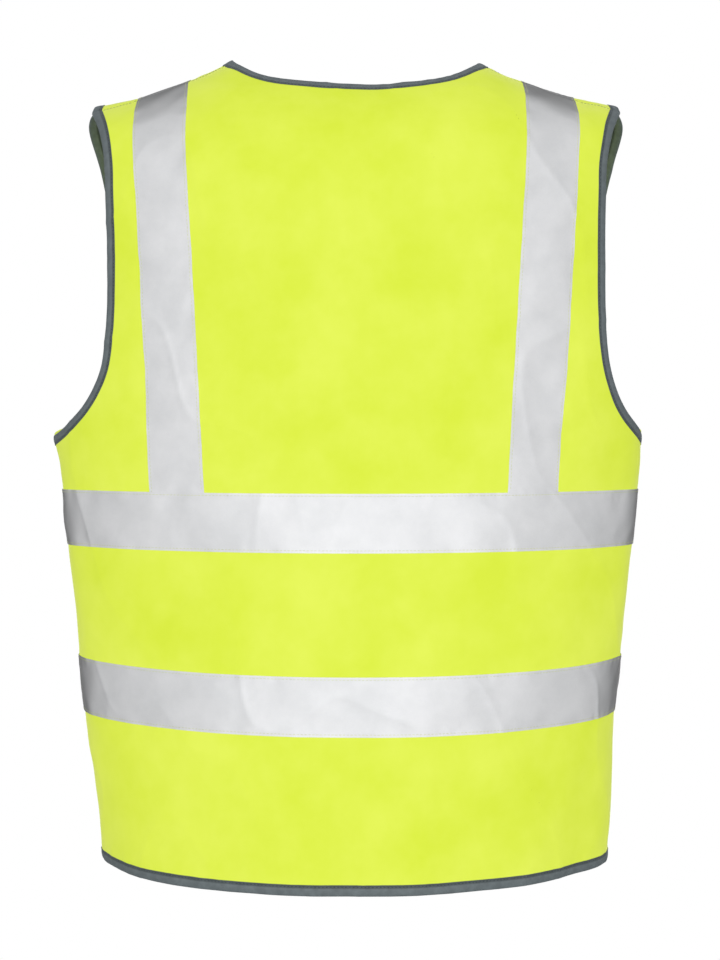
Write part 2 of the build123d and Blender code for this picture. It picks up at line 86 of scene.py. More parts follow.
ARMHOLE = {
    "back": [
        BACK_TIP, (0.2275, -0.080), (0.2195, -0.140), (0.219, -0.235),
        (0.226, -0.292), (0.244, -0.325), SIDE_TOP,
    ],
    "front": [
        SHOULDER_TIP, (0.248, -0.060), (0.2465, -0.082), (0.239, -0.115), (0.227, -0.172),
        (0.220, -0.235), (0.227, -0.292), (0.244, -0.325), SIDE_TOP,
    ],
}

# Tape, binding, zip
TAPE_WIDTH = 0.050
UPPER_BAND = (-0.4215, 0.0025)      # height at the middle, and the lift at the sides
LOWER_BAND = (-0.575, 0.006)
BRACE_TOP = (0.1775, 0.0)
BRACE_BOTTOM = (0.153, -0.396)
BRACE_TUCK = 0.010                  # the braces run this far under the upper band
BINDING_WIDTH = 0.009
FRONT_EDGE_X = 0.0065
ZIP_TOP_Z = -0.210
ZIP_FOOT_Z = -0.729

# Layers, outwards from the form
PANEL = (0.0, 0.0003)
BRACE = (0.0005, 0.00075)
BAND = (0.0009, 0.00115)
LABEL = (-0.0011, -0.0008)
ALLOWANCE = (-0.0008, -0.0005)

CLOTH_STEP = 0.003                  # mesh size of the panels
TAPE_STEP = 0.0022
BINDING_STEP = 0.0016
SETTLING_STEPS = 12
HALVINGS = 30
STITCH_PITCH = 0.0032
STITCH_LENGTH = 0.0025
STITCH_RADIUS = 0.00017
STITCH_SIDES = 6
TAPE_CROWN = 0.00022                # the tape stands this far off the cloth between its seams
TAPE_STITCH_INSET = 0.0022
SHOULDER_STITCH_INSET = 0.0012
ALLOWANCE_ENDS = 0.0125             # from the hem's edge, and from the armhole's
ALLOWANCE_TURN = 0.055              # half its width, as an angle round from the seam
ALLOWANCE_COLUMNS = 9
SEAM_MARGIN = 0.0004
SEAM_EASE = 6                       # how sharply a brace's end turns to meet the shoulder seam
MITRE_REACH = 0.012
LEAST_MITRE = 0.35
BINDING_UNEVEN = 0.16
BINDING_STITCH_INSET = 0.0074
BINDING_STITCH_OFFSET = 0.00075
ANGLE_NUDGE = 1e-4                  # small moves over the form, to measure its slopes
LEVEL_NUDGE = 1e-5
TINY = 1e-12


# ---------------------------------------------------------------- the form

def soft_step(distance, blend):
    return (distance + np.hypot(distance, blend)) / 2


def smooth(share):
    return share * share * (3 - 2 * share)


def between(value, start, end):
    """Share of the way from a start to an end: 0 before it, and 1 past it."""
    return np.clip((value - start) / (end - start), 0.0, 1.0)


def near(distance, reach):
    return np.exp(-(distance / reach) ** 2)


def half_width(z):
    return CHEST_HALF_WIDTH - SIDE_TAPER * soft_step(ARMPIT_Z - z, TAPER_BLEND)


def depth(z, side):
    flare = (HEM_DEPTH[side] - TOP_DEPTH) / (ROUND_Z - HEM_Z)
    return TOP_DEPTH + flare * soft_step(ROUND_Z - z, DEPTH_BLEND)


def ridge_height(x):
    """Height of the shoulder ridge, across from the neck."""
    out = soft_step(np.abs(x) - SLOPE_START_X, RIDGE_BLEND) / (SHOULDER_TIP[0] - SLOPE_START_X)
    return -SHOULDER_DROP * out ** DROP_EASE


def shoulder_drop(x, rise_sin, rise_cos):
    """How the cloth falls with the ridge, and away from it to the back and front."""
    tent = TENT_DROP * (np.hypot(rise_cos, TENT_BLEND) - TENT_BLEND)
    return (ridge_height(x) - tent) * rise_sin ** 2


def form(spots, side):
    """Points of the form for an array of (angle round from the middle, level up the cloth)."""
    angle, level = spots[..., 0], spots[..., 1]
    rise = np.maximum(level, 0.0) / -ROUND_Z
    z = ROUND_Z + np.minimum(level, 0.0) - ROUND_Z * np.sin(rise)
    x = half_width(z) * np.sin(angle)
    y = FACING[side] * depth(z, side) * np.cos(angle) * np.cos(rise)
    return np.stack([x, y, z + shoulder_drop(x, np.sin(rise), np.cos(rise))], -1)


def unit(vectors):
    return vectors / np.maximum(np.linalg.norm(vectors, axis=-1, keepdims=True), TINY)


def sway(points):
    """How the worn vest hangs: a little to its left, the left underarm out and the shoulder tips up."""
    x, y, z = points[..., 0], points[..., 1], points[..., 2]
    rising = between(z, SWAY_Z[0], SWAY_Z[1])
    falling = between(z, SWAY_Z[3], SWAY_Z[2])
    aside = between(np.abs(x), SWAY_START_X, SWAY_FULL_X)
    shift = SWAY_X * np.minimum(smooth(rising), smooth(falling)) * smooth(aside)
    left = np.where(x > 0, LEFT_FLARE, 0.0)
    flare = left * near(z - ARMPIT_Z, FLARE_REACH) * near(y, FLARE_REACH)
    tip = between(np.abs(x), *TIP_X)
    high = between(z, *TIP_Z)
    return np.stack([shift + flare, np.zeros_like(x), TIP_LIFT * smooth(tip) * smooth(high)], -1)


def nudged(spots, side):
    """Small moves over the form: round it, and up it."""
    turn, climb = np.array([ANGLE_NUDGE, 0.0]), np.array([0.0, LEVEL_NUDGE])
    along = form(spots + turn, side) - form(spots - turn, side)
    upward = form(spots + climb, side) - form(spots - climb, side)
    return along, upward


def outward(spots, side):
    """Unit normals of the form."""
    along, upward = nudged(spots, side)
    return unit(np.cross(along, upward)) * -FACING[side]


def from_square(x, z):
    """Spots of either side of the form at places seen square on, below the ridge."""
    low, high = np.zeros(np.shape(x)), np.full(np.shape(x), math.pi / 2)
    for _ in range(HALVINGS):
        middle = (low + high) / 2
        reached = ROUND_Z - ROUND_Z * np.sin(middle) + shoulder_drop(x, np.sin(middle), np.cos(middle))
        low = np.where(reached < z, middle, low)
        high = np.where(reached < z, high, middle)
    rise = np.where(z <= ROUND_Z, 0.0, low)
    z_flat = np.where(z <= ROUND_Z, z, ROUND_Z - ROUND_Z * np.sin(rise))
    level = np.where(z <= ROUND_Z, z - ROUND_Z, rise * -ROUND_Z)
    return np.stack([np.arcsin(np.clip(x / half_width(z_flat), -1, 1)), level], -1)


def from_plan(x, y, side):
    """Spots of the form at places seen from above, near the shoulder ridge."""
    rise = np.full(np.shape(x), math.pi / 2)
    angle = np.zeros(np.shape(x))
    for _ in range(SETTLING_STEPS):
        z_flat = ROUND_Z - ROUND_Z * np.sin(rise)
        angle = np.arcsin(np.clip(x / half_width(z_flat), -1, 1))
        reach = depth(z_flat, side) * np.cos(angle)
        rise = np.arccos(np.clip(y * FACING[side] / reach, -1, 1))
    return np.stack([angle, rise * -ROUND_Z], -1)


# ---------------------------------------------------------------- soft shape of the cloth

WAVELENGTH_SPREAD = (0.7, 1.4)


def wave_set(seed, count, wavelength, stretch=(1.0, 1.0, 1.0)):
    """Random plane waves near a wavelength, for a smooth uneven surface."""
    draw = np.random.default_rng(seed)
    directions = unit(draw.normal(size=(count, 3))) * np.array(stretch)
    lengths = wavelength * draw.uniform(*WAVELENGTH_SPREAD, (count, 1))
    return directions * 2 * math.pi / lengths, draw.uniform(0, 2 * math.pi, count)


def undulation(points, waves):
    """Sum of plane waves, about -1 to 1."""
    vectors, phases = waves
    total = np.zeros(points.shape[:-1])
    for vector, phase in zip(vectors, phases):
        total += np.sin(points @ vector + phase)
    return total * math.sqrt(2 / len(phases)) / 2


BROAD = wave_set(3, 10, 0.26, (1.0, 1.0, 0.5))
SOFT = wave_set(5, 14, 0.085, (1.0, 1.0, 0.55))
FINE = wave_set(8, 16, 0.034, (0.8, 0.8, 1.0))
HEM_FOLDS = wave_set(13, 9, 0.100, (1.0, 1.0, 0.05))
CREASES = wave_set(41, 9, 0.120, (1.0, 1.0, 0.8))
PUCKERS = wave_set(21, 12, 0.011)
GATHERS = wave_set(34, 10, 0.024)
BROAD_HEIGHT = 0.0016
SOFT_HEIGHT = 0.0010
FINE_HEIGHT = 0.00034
CREASE_HEIGHT = 0.00075
HEM_FOLD_HEIGHT = 0.0030
HEM_FOLD_EASE = 1.5                 # how late the hem's folds grow, down from the lower band
CREASE_SHARPNESS = 9.0
PUCKER_HEIGHT = 0.00018
GATHER_HEIGHT = 0.00035
PUCKER_REACH = 0.007
GATHER_REACH = 0.018
SEAM_DIP = 0.0005
SEAM_REACH = 0.0016
SIDE_SEAM_TOP = ARMPIT_Z + 0.05
CALM_X = (0.018, 0.070)             # the front lies flat beside the zip, and has its folds past it
CURVE_SAMPLES = 320
RIDGE_SAMPLES = 40
UNDERARM_CROWDING = 2.0
SEAM_ANGLE = math.pi / 2
SHARP_ANGLE = math.radians(50)


def arc_z(band, x):
    """Height of a band's middle line, or of the hem."""
    return band[0] + band[1] * (x / ARC_X) ** 2


def brace_offset(points):
    """Distance across from the nearer brace's middle line."""
    share = (points[..., 2] - BRACE_BOTTOM[1]) / (BRACE_TOP[1] - BRACE_BOTTOM[1])
    middle = BRACE_BOTTOM[0] + (BRACE_TOP[0] - BRACE_BOTTOM[0]) * share
    return np.abs(points[..., 0]) - middle


def sewn_distance(points):
    """Distance to the nearest sewn edge of a band or brace, or to the hem."""
    x, z = points[..., 0], points[..., 2]
    gaps = [np.abs(z - arc_z((HEM_Z + BINDING_WIDTH, HEM_LIFT), x))]
    for band in (UPPER_BAND, LOWER_BAND):
        gaps.append(np.abs(np.abs(z - arc_z(band, x)) - TAPE_WIDTH / 2))
    brace_gap = np.abs(np.abs(brace_offset(points)) - TAPE_WIDTH / 2)
    gaps.append(np.where(z > BRACE_BOTTOM[1], brace_gap, 1.0))
    return np.min(gaps, axis=0)


def relief(spots, side):
    """How far the cloth stands out from the form: folds, wrinkles, puckers and seams."""
    points = form(spots, side)
    z = points[..., 2]
    sewn = sewn_distance(points)
    loose = between(z, LOWER_BAND[0], HEM_Z)
    height = BROAD_HEIGHT * undulation(points, BROAD)
    height += SOFT_HEIGHT * undulation(points, SOFT)
    height += FINE_HEIGHT * undulation(points, FINE)
    height += CREASE_HEIGHT * np.exp(-np.abs(undulation(points, CREASES)) * CREASE_SHARPNESS)
    height += HEM_FOLD_HEIGHT * loose ** HEM_FOLD_EASE * undulation(points, HEM_FOLDS)
    height += PUCKER_HEIGHT * near(sewn, PUCKER_REACH) * undulation(points, PUCKERS)
    height += GATHER_HEIGHT * near(sewn, GATHER_REACH) * undulation(points, GATHERS)
    side_seam = np.where(z < SIDE_SEAM_TOP, near(points[..., 1], SEAM_REACH), 0.0)
    shoulder_seam = np.where(z > ROUND_Z, near(points[..., 1] - SEAM_Y, SEAM_REACH), 0.0)
    height -= SEAM_DIP * np.maximum(side_seam, shoulder_seam)
    if side == "front":
        height *= smooth(between(np.abs(points[..., 0]), *CALM_X))
    return height


def placed(spots, offset, side):
    """Points of a cloth layer, at an offset out from the shared relief."""
    points = form(spots, side)
    lift = relief(spots, side) + offset
    return points + sway(points) + outward(spots, side) * lift[..., None]


# ---------------------------------------------------------------- edges of the cut pieces

def travelled(points):
    """Distance along a polyline, at each of its points."""
    steps = np.linalg.norm(np.diff(points, axis=0), axis=1)
    return np.concatenate([[0.0], np.cumsum(steps)])


def smooth_curve(knots, crowding=1.0):
    """Cubic curve through a few points. Crowding above 1 samples its last end more finely."""
    knots = np.array(knots, float)
    travel = travelled(knots)
    gaps = np.diff(travel)
    last = len(knots) - 1
    system = np.eye(last + 1)
    right = np.zeros_like(knots)
    for i in range(1, last):
        system[i, i - 1:i + 2] = gaps[i - 1], 2 * (gaps[i - 1] + gaps[i]), gaps[i]
        slopes = (knots[i + 1] - knots[i]) / gaps[i] - (knots[i] - knots[i - 1]) / gaps[i - 1]
        right[i] = 6 * slopes
    bend = np.linalg.solve(system, right)
    wanted = travel[-1] * (1 - (1 - np.linspace(0, 1, CURVE_SAMPLES)) ** crowding)
    span = np.clip(np.searchsorted(travel, wanted, side="right") - 1, 0, last - 1)
    gap = gaps[span][:, None]
    before = (travel[span + 1] - wanted)[:, None] / gap
    after = 1 - before
    cubic = (before ** 3 - before) * bend[span] + (after ** 3 - after) * bend[span + 1]
    return before * knots[span] + after * knots[span + 1] + cubic * gap ** 2 / 6


def even(spots, side, count):
    """Spots spaced evenly along the cloth."""
    travel = travelled(form(spots, side))
    wanted = np.linspace(0, travel[-1], count)
    return np.stack([np.interp(wanted, travel, spots[:, k]) for k in (0, 1)], -1)


def steps_along(spots, side, step):
    return max(int(round(travelled(form(spots, side))[-1] / step)), 2) + 1


def over_ridge(start, seam_x, side):
    """Spots from a place on the shoulder to a place on the shoulder seam."""
    x = np.linspace(start[0], seam_x, RIDGE_SAMPLES)
    y = np.linspace(start[1], SEAM_Y, RIDGE_SAMPLES)
    return from_plan(x, y, side)


def armhole_edge(side):
    """From the side seam up to the shoulder seam, on the wearer's left."""
    curve = smooth_curve(ARMHOLE[side], UNDERARM_CROWDING)[::-1]
    spots = from_square(curve[:, 0], curve[:, 1])
    return up_to_seam(spots, side, SHOULDER_TIP[0])


def up_to_seam(spots, side, seam_x=None):
    """A line up the cloth, ended on the shoulder seam: cut there on the back, run on to it on the front."""
    if side == "back":
        points = form(spots, side)
        spots = spots[(points[:, 2] < ROUND_Z) | (points[:, 1] > SEAM_Y + SEAM_MARGIN)]
    last = form(spots[-1], side)
    end_x = last[0] if seam_x is None else seam_x
    return np.concatenate([spots[:-1], over_ridge(last, end_x, side)])


def shoulder_seam(side):
    """From the neck corner out to the armhole, on the wearer's left."""
    x = np.linspace(NECK_HALF_WIDTH, SHOULDER_TIP[0], RIDGE_SAMPLES)
    return from_plan(x, np.full(RIDGE_SAMPLES, SEAM_Y), side)


def back_neck_edge():
    """Round the back of the neck from the right corner to the left one."""
    least = math.asin((SEAM_Y / NECK_BACK_DEPTH) ** (NECK_SQUARENESS / 2))
    turn = np.linspace(math.pi - least, least, CURVE_SAMPLES)
    across = np.cos(turn)
    x = NECK_HALF_WIDTH * np.sign(across) * np.abs(across) ** (2 / NECK_SQUARENESS)
    y = NECK_BACK_DEPTH * np.sin(turn) ** (2 / NECK_SQUARENESS)
    return from_plan(x, y, "back")


def front_neck_edge():
    """From the top of the front edge up to the shoulder seam, on the wearer's left."""
    corner = (NECK_HALF_WIDTH, float(ridge_height(NECK_HALF_WIDTH)) - SEAM_MARGIN)
    curve = smooth_curve([corner, *NECK_FRONT])[::-1]
    top_z = np.interp(FRONT_EDGE_X, curve[:, 0], curve[:, 1])
    curve = np.concatenate([[(FRONT_EDGE_X, top_z)], curve[curve[:, 0] > FRONT_EDGE_X]])
    return up_to_seam(from_square(curve[:, 0], curve[:, 1]), "front", NECK_HALF_WIDTH)


def front_edge(low_z, high_z):
    """Straight up beside the zip, on the wearer's left."""
    z = np.linspace(low_z, high_z, CURVE_SAMPLES)
    return from_square(np.full(CURVE_SAMPLES, FRONT_EDGE_X), z)


def arc_spots(band, shift, angles):
    """Spots along a band's arc, raised by a shift. Works on whole grids."""
    z = np.full(np.shape(angles), band[0])
    for _ in range(SETTLING_STEPS):
        z = arc_z(band, half_width(z) * np.sin(angles)) + shift
    return np.stack([angles, z - ROUND_Z], -1)


def side_angles(side, z):
    """First and last angle of one side's cloth at a height."""
    if side == "back":
        return -SEAM_ANGLE, SEAM_ANGLE
    return math.asin(FRONT_EDGE_X / half_width(z)), SEAM_ANGLE


def coons(bottom, top, left, right):
    """Grid of spots filled in between four edges."""
    u = np.linspace(0, 1, len(bottom))[None, :, None]
    v = np.linspace(0, 1, len(left))[:, None, None]
    corners = (1 - v) * ((1 - u) * bottom[0] + u * bottom[-1]) + v * ((1 - u) * top[0] + u * top[-1])
    return (1 - v) * bottom + v * top + (1 - u) * left[:, None] + u * right[:, None] - corners


def mirrored(spots):
    """The same spots on the wearer's right."""
    return spots * np.array([-1.0, 1.0])


# ---------------------------------------------------------------- meshes

def make_piece(name, points, faces, cloth=None):
    """Mesh object with smooth faces, and its cloth's own width and length as UVs in metres."""
    mesh = bpy.data.meshes.new(name)
    mesh.from_pydata(np.asarray(points).reshape(-1, 3), [], faces)
    if cloth is not None:
        layer = mesh.uv_layers.new(name="cloth")
        corners = np.zeros(len(mesh.loops), int)
        mesh.loops.foreach_get("vertex_index", corners)
        layer.data.foreach_set("uv", np.asarray(cloth, np.float32).reshape(-1, 2)[corners].ravel())
    mesh.polygons.foreach_set("use_smooth", [True] * len(mesh.polygons))
    mesh.set_sharp_from_angle(angle=SHARP_ANGLE)
    mesh.validate()
    piece = bpy.data.objects.new(name, mesh)
    bpy.context.scene.collection.objects.link(piece)
    return piece


def closed_piece(name, points, faces, cloth=None):
    """A piece with its faces turned outwards."""
    piece = make_piece(name, points, faces, cloth)
    shape = bmesh.new()
    shape.from_mesh(piece.data)
    bmesh.ops.recalc_face_normals(shape, faces=shape.faces)
    shape.to_mesh(piece.data)
    shape.free()
    return piece


def grid_quads(rows, columns, start=0, wrap=False):
    """Quads of a grid of vertices, as an array of vertex numbers."""
    number = np.arange(rows * columns).reshape(rows, columns) + start
    if wrap:
        number = np.concatenate([number, number[:, :1]], 1)
    corners = [number[:-1, :-1], number[:-1, 1:], number[1:, 1:], number[1:, :-1]]
    return np.stack([c.ravel() for c in corners], -1)


def border(rows, columns):
    """Vertex numbers round a grid's edge, in order."""
    number = np.arange(rows * columns).reshape(rows, columns)
    return np.concatenate([number[0, :-1], number[:-1, -1], number[-1, :0:-1], number[:0:-1, 0]])


def cloth_lengths(spots, side):
    """Distance round from the middle and up the cloth, in metres."""
    z = ROUND_Z + np.minimum(spots[..., 1], 0.0)
    angles = np.linspace(0, math.pi / 2, CURVE_SAMPLES)
    typical = form(np.stack([angles, np.full(CURVE_SAMPLES, ARMPIT_Z - ROUND_Z)], -1), side)
    round_by = np.interp(np.abs(spots[..., 0]), angles, travelled(typical))
    width = round_by * half_width(z) / half_width(ARMPIT_Z) * np.sign(spots[..., 0])
    return np.stack([width, spots[..., 1]], -1)


def shell(name, spots, offsets, side, bulge=None):
    """Closed thin cloth over a grid of spots. Its inner face takes the second material, which for the
    yellow cloth is its darker copy with painted shade.
    """
    rows, columns = spots.shape[:2]
    extra = 0.0 if bulge is None else bulge
    outer = placed(spots, offsets[1] + extra, side)
    inner = placed(spots, offsets[0] + extra, side)
    facing = np.cross(outer[0, 1] - outer[0, 0], outer[1, 0] - outer[0, 0])
    turned = facing @ outward(spots[0, 0], side) < 0
    size = rows * columns
    top = grid_quads(rows, columns)
    bottom = grid_quads(rows, columns, size)[:, ::-1]
    ring = border(rows, columns)
    following = np.roll(ring, -1)
    rim = np.stack([ring, ring + size, following + size, following], -1)
    faces = np.concatenate([top, bottom, rim])
    if turned:
        faces = faces[:, ::-1]
    lengths = cloth_lengths(spots, side).reshape(-1, 2)
    points = np.concatenate([outer.reshape(-1, 3), inner.reshape(-1, 3)])
    piece = make_piece(name, points, faces.tolist(), np.concatenate([lengths, lengths]))
    inside = np.zeros(len(faces), int)
    inside[len(top):len(top) + len(bottom)] = 1
    piece.data.polygons.foreach_set("material_index", inside)
    return piece


# ---------------------------------------------------------------- cloth pieces

def panel_grid(bottom, top, left, right, side):
    """Even grid of spots over a cut piece, from its four edges."""
    columns = max(steps_along(bottom, side, CLOTH_STEP), steps_along(top, side, CLOTH_STEP))
    rows = max(steps_along(left, side, CLOTH_STEP), steps_along(right, side, CLOTH_STEP))
    return coons(
        even(bottom, side, columns), even(top, side, columns),
        even(left, side, rows), even(right, side, rows),
    )


def side_edge(side):
    """Up the side seam and round the armhole to the shoulder seam, on the wearer's left."""
    armhole = armhole_edge(side)
    low = arc_spots((HEM_Z, HEM_LIFT), 0.0, np.array([SEAM_ANGLE]))[0, 1]
    levels = np.linspace(low, armhole[0, 1], CURVE_SAMPLES)
    seam = np.stack([np.full(CURVE_SAMPLES, SEAM_ANGLE), levels], -1)
    return np.concatenate([seam[:-1], armhole])


def hem_edge(side):
    first, last = side_angles(side, HEM_Z)
    return arc_spots((HEM_Z, HEM_LIFT), 0.0, np.linspace(first, last, CURVE_SAMPLES))


def back_panel():
    right = side_edge("back")
    seam = shoulder_seam("back")
    top = np.concatenate([mirrored(seam)[::-1], back_neck_edge()[1:-1], seam])
    spots = panel_grid(hem_edge("back"), top, mirrored(right), right, "back")
    return shell("back_cloth", spots, PANEL, "back")


def front_panel(name, mirror):
    bottom = hem_edge("front")
    neck = front_neck_edge()
    opening = front_edge(HEM_Z, form(neck[0], "front")[2])
    opening[0] = bottom[0]
    left = np.concatenate([opening[:-1], neck])
    spots = panel_grid(bottom, shoulder_seam("front"), left, side_edge("front"), "front")
    return shell(name, mirror(spots), PANEL, "front")


def seam_allowance(name, mirror):
    """Cloth left inside a side seam. It is sewn to the back and laps behind the front's edge."""
    low, high = HEM_Z + ALLOWANCE_ENDS, ARMPIT_Z - ALLOWANCE_ENDS
    levels = np.linspace(low, high, int((high - low) / CLOTH_STEP)) - ROUND_Z
    angles = SEAM_ANGLE + np.linspace(-1, 1, ALLOWANCE_COLUMNS) * ALLOWANCE_TURN
    spots = np.stack(np.meshgrid(angles, levels), -1)
    return shell(name, mirror(spots), ALLOWANCE, "back")


def tape_bulge(across):
    """The tape stands a little off the cloth between its two seams."""
    return TAPE_CROWN * (1 - across ** 2) ** 2


def band(name, line, side, mirror):
    """Reflective band from seam to seam, or from seam to zip."""
    first, last = side_angles(side, line[0])
    middle = arc_spots(line, 0.0, np.linspace(first, last, CURVE_SAMPLES))
    columns = steps_along(middle, side, TAPE_STEP)
    angles = even(middle, side, columns)[:, 0]
    rows = int(TAPE_WIDTH / TAPE_STEP) + 1
    across = np.linspace(-1, 1, rows)
    spots = np.stack([arc_spots(line, a * TAPE_WIDTH / 2, angles) for a in across])
    bulge = tape_bulge(across)[:, None]
    return shell(name, mirror(spots), BAND, side, bulge)


def domain_step(spots, vectors, side):
    """Changes of (angle, level) that carry spots along vectors that lie in the cloth."""
    along, upward = nudged(spots, side)
    along, upward = along / (2 * ANGLE_NUDGE), upward / (2 * LEVEL_NUDGE)
    aa, ab, bb = (np.sum(p * q, -1) for p, q in ((along, along), (along, upward), (upward, upward)))
    va, vb = np.sum(vectors * along, -1), np.sum(vectors * upward, -1)
    scale = aa * bb - ab * ab
    return np.stack([(va * bb - vb * ab) / scale, (vb * aa - va * ab) / scale], -1)


def inward_of(edge, side, turn):
    """Unit directions in the cloth, square to an edge. turn is 1 to its left and -1 to its right."""
    points = form(edge, side)
    along = unit(np.gradient(points, axis=0))
    return unit(np.cross(outward(edge, side), along)) * turn


def brace_line(side):
    """Middle line of a brace, from its foot up to the shoulder seam, on the wearer's left."""
    foot_z = UPPER_BAND[0] + TAPE_WIDTH / 2 - BRACE_TUCK
    top_z = float(ridge_height(BRACE_TOP[0])) - SEAM_MARGIN
    z = np.linspace(foot_z, top_z, CURVE_SAMPLES)
    share = (z - BRACE_BOTTOM[1]) / (BRACE_TOP[1] - BRACE_BOTTOM[1])
    x = BRACE_BOTTOM[0] + (BRACE_TOP[0] - BRACE_BOTTOM[0]) * share
    return up_to_seam(from_square(x, z), side)


def brace(name, side, mirror):
    line = brace_line(side)
    middle = even(line, side, steps_along(line, side, TAPE_STEP))
    sideways = domain_step(middle, inward_of(middle, side, 1.0), side)
    across = np.linspace(-1, 1, int(TAPE_WIDTH / TAPE_STEP) + 1)
    spots = middle[:, None] + sideways[:, None] * (across * TAPE_WIDTH / 2)[None, :, None]
    spots = ended_at_seam(spots, side)
    return shell(name, mirror(spots), BRACE, side, tape_bulge(across)[None, :])


def ended_at_seam(spots, side):
    """Moves the last row of a strip on to the shoulder seam, and the rows before it in step."""
    last = spots[-1]
    x = form(last, side)[:, 0]
    wanted = from_plan(x, np.full(x.shape, SEAM_Y), side)
    share = np.linspace(0, 1, len(spots)) ** SEAM_EASE
    return spots + share[:, None, None] * (wanted - last)[None]


# Section of the binding: (distance in from the edge, offset out from the form), in millimetres
BINDING_SECTION = [
    (9.0, 0.60), (8.6, 0.78), (8.1, 0.74), (7.4, 0.56), (6.6, 0.80), (5.2, 1.00), (3.4, 1.08),
    (1.6, 1.00), (0.5, 0.82), (-0.1, 0.45), (-0.3, 0.10), (-0.1, -0.30), (0.5, -0.62), (1.8, -0.78),
    (4.0, -0.80), (6.2, -0.70), (7.4, -0.42), (8.2, -0.56), (9.0, -0.42),
]
BINDING_HALF_THICKNESS = 0.16       # in millimetres too


def binding_section():
    """Closed outline of the folded binding: (distances in, offsets out), in metres."""
    middle = np.array(BINDING_SECTION)
    along = unit(np.gradient(middle, axis=0))
    square = np.stack([-along[:, 1], along[:, 0]], -1) * BINDING_HALF_THICKNESS
    return np.concatenate([middle + square, (middle - square)[::-1]]) * MM


def mitred(inward, distance, ends):
    """Directions in from an edge, turned near its ends to follow the cuts there."""
    for end, reach in zip(ends, (distance, distance[-1] - distance)):
        if end is None:
            continue
        share = np.clip(1 - reach / MITRE_REACH, 0, 1)[:, None]
        mixed = unit(inward * (1 - share) + np.array(end) * share)
        inward = mixed / np.maximum(np.sum(mixed * inward, -1, keepdims=True), LEAST_MITRE)
    return inward


def binding(name, edge, side, turn, mirror, ends=(None, None)):
    """Cloth binding folded round an edge. ends are the directions of its end cuts, if not square."""
    edge = even(edge, side, steps_along(edge, side, BINDING_STEP))
    distance = travelled(form(edge, side))
    inward = mitred(inward_of(edge, side, turn), distance, ends)
    sideways = domain_step(edge, inward, side)
    section = binding_section()
    spots = mirror(edge[:, None] + sideways[:, None] * section[None, :, 0, None])
    base = mirror(edge)
    puckers = undulation(form(base, side), PUCKERS)[:, None]
    plump = 1 + BINDING_UNEVEN * puckers
    flat = np.stack([np.clip(spots[..., 0], -SEAM_ANGLE, SEAM_ANGLE), spots[..., 1]], -1)
    points = placed(flat, section[None, :, 1] * plump, side)
    rows, columns = points.shape[:2]
    quads = grid_quads(rows, columns, 0, wrap=True)
    end_faces = [list(range(columns))[::-1], list(range((rows - 1) * columns, rows * columns))]
    lengths = np.stack(np.broadcast_arrays(distance[:, None], section[None, :, 0]), -1)
    return closed_piece(name, points, quads.tolist() + end_faces, lengths)


# ---------------------------------------------------------------- stitches

# Rings of a stitch: (place along it, as a share of its length, then width and rise, of its radius)
STITCH_RINGS = [
    (-0.5, 0.35, -1.0), (-0.34, 1.0, 0.25), (0.0, 1.12, 0.7), (0.34, 1.0, 0.25), (0.5, 0.35, -1.0),
]


def stitch_line(spots, side, offset):
    """Vertices and faces of a row of stitches along a line on a cloth layer."""
    count = steps_along(spots, side, STITCH_PITCH)
    middles = even(spots, side, count)
    points = placed(middles, offset, side)
    along = unit(np.gradient(points, axis=0))
    up = outward(middles, side)
    sideways = unit(np.cross(up, along))
    turns = np.linspace(0, 2 * math.pi, STITCH_SIDES, endpoint=False)
    rings = []
    for place, width, rise in STITCH_RINGS:
        centre = points + along * place * STITCH_LENGTH + up * rise * STITCH_RADIUS
        for turn in turns:
            spoke = sideways * math.cos(turn) + up * math.sin(turn)
            rings.append(centre + spoke * STITCH_RADIUS * width)
    vertices = np.stack(rings, 1)
    number = len(STITCH_RINGS) * STITCH_SIDES
    tube = grid_quads(len(STITCH_RINGS), STITCH_SIDES, 0, wrap=True)
    starts = np.arange(count)[:, None, None] * number
    quads = (tube[None] + starts).reshape(-1, 4).tolist()
    cap = np.arange(STITCH_SIDES)
    caps = [cap[::-1], cap + number - STITCH_SIDES]
    caps = [(c + start).tolist() for start in range(0, count * number, number) for c in caps]
    return vertices.reshape(-1, 3), quads + caps


def stitching(name, lines):
    """One piece holding many rows of stitches. lines are (spots, side, offset)."""
    points, faces = [], []
    for spots, side, offset in lines:
        vertices, quads = stitch_line(spots, side, offset)
        start = sum(len(p) for p in points)
        points.append(vertices)
        faces += [[v + start for v in face] for face in quads]
    return closed_piece(name, np.concatenate(points), faces)


def band_seams(line, side, mirror):
    """Rows of stitches along both edges of a band."""
    first, last = side_angles(side, line[0])
    margin = STITCH_LENGTH / half_width(line[0])
    angles = np.linspace(first + margin, last - margin, CURVE_SAMPLES)
    shift = TAPE_WIDTH / 2 - TAPE_STITCH_INSET
    return [(mirror(arc_spots(line, s, angles)), side, BAND[1]) for s in (-shift, shift)]


def brace_seams(side, mirror):
    middle = even(brace_line(side), side, CURVE_SAMPLES)
    sideways = domain_step(middle, inward_of(middle, side, 1.0), side)
    shift = TAPE_WIDTH / 2 - TAPE_STITCH_INSET
    covered = form(middle, side)[:, 2] < UPPER_BAND[0] + TAPE_WIDTH / 2 + STITCH_LENGTH
    rows = []
    for s in (-shift, shift):
        spots = (middle + sideways * s)[~covered]
        near_seam = np.abs(form(spots, side)[:, 1] - SEAM_Y) < STITCH_LENGTH
        rows.append((mirror(spots[~near_seam]), side, BRACE[1]))
    return rows


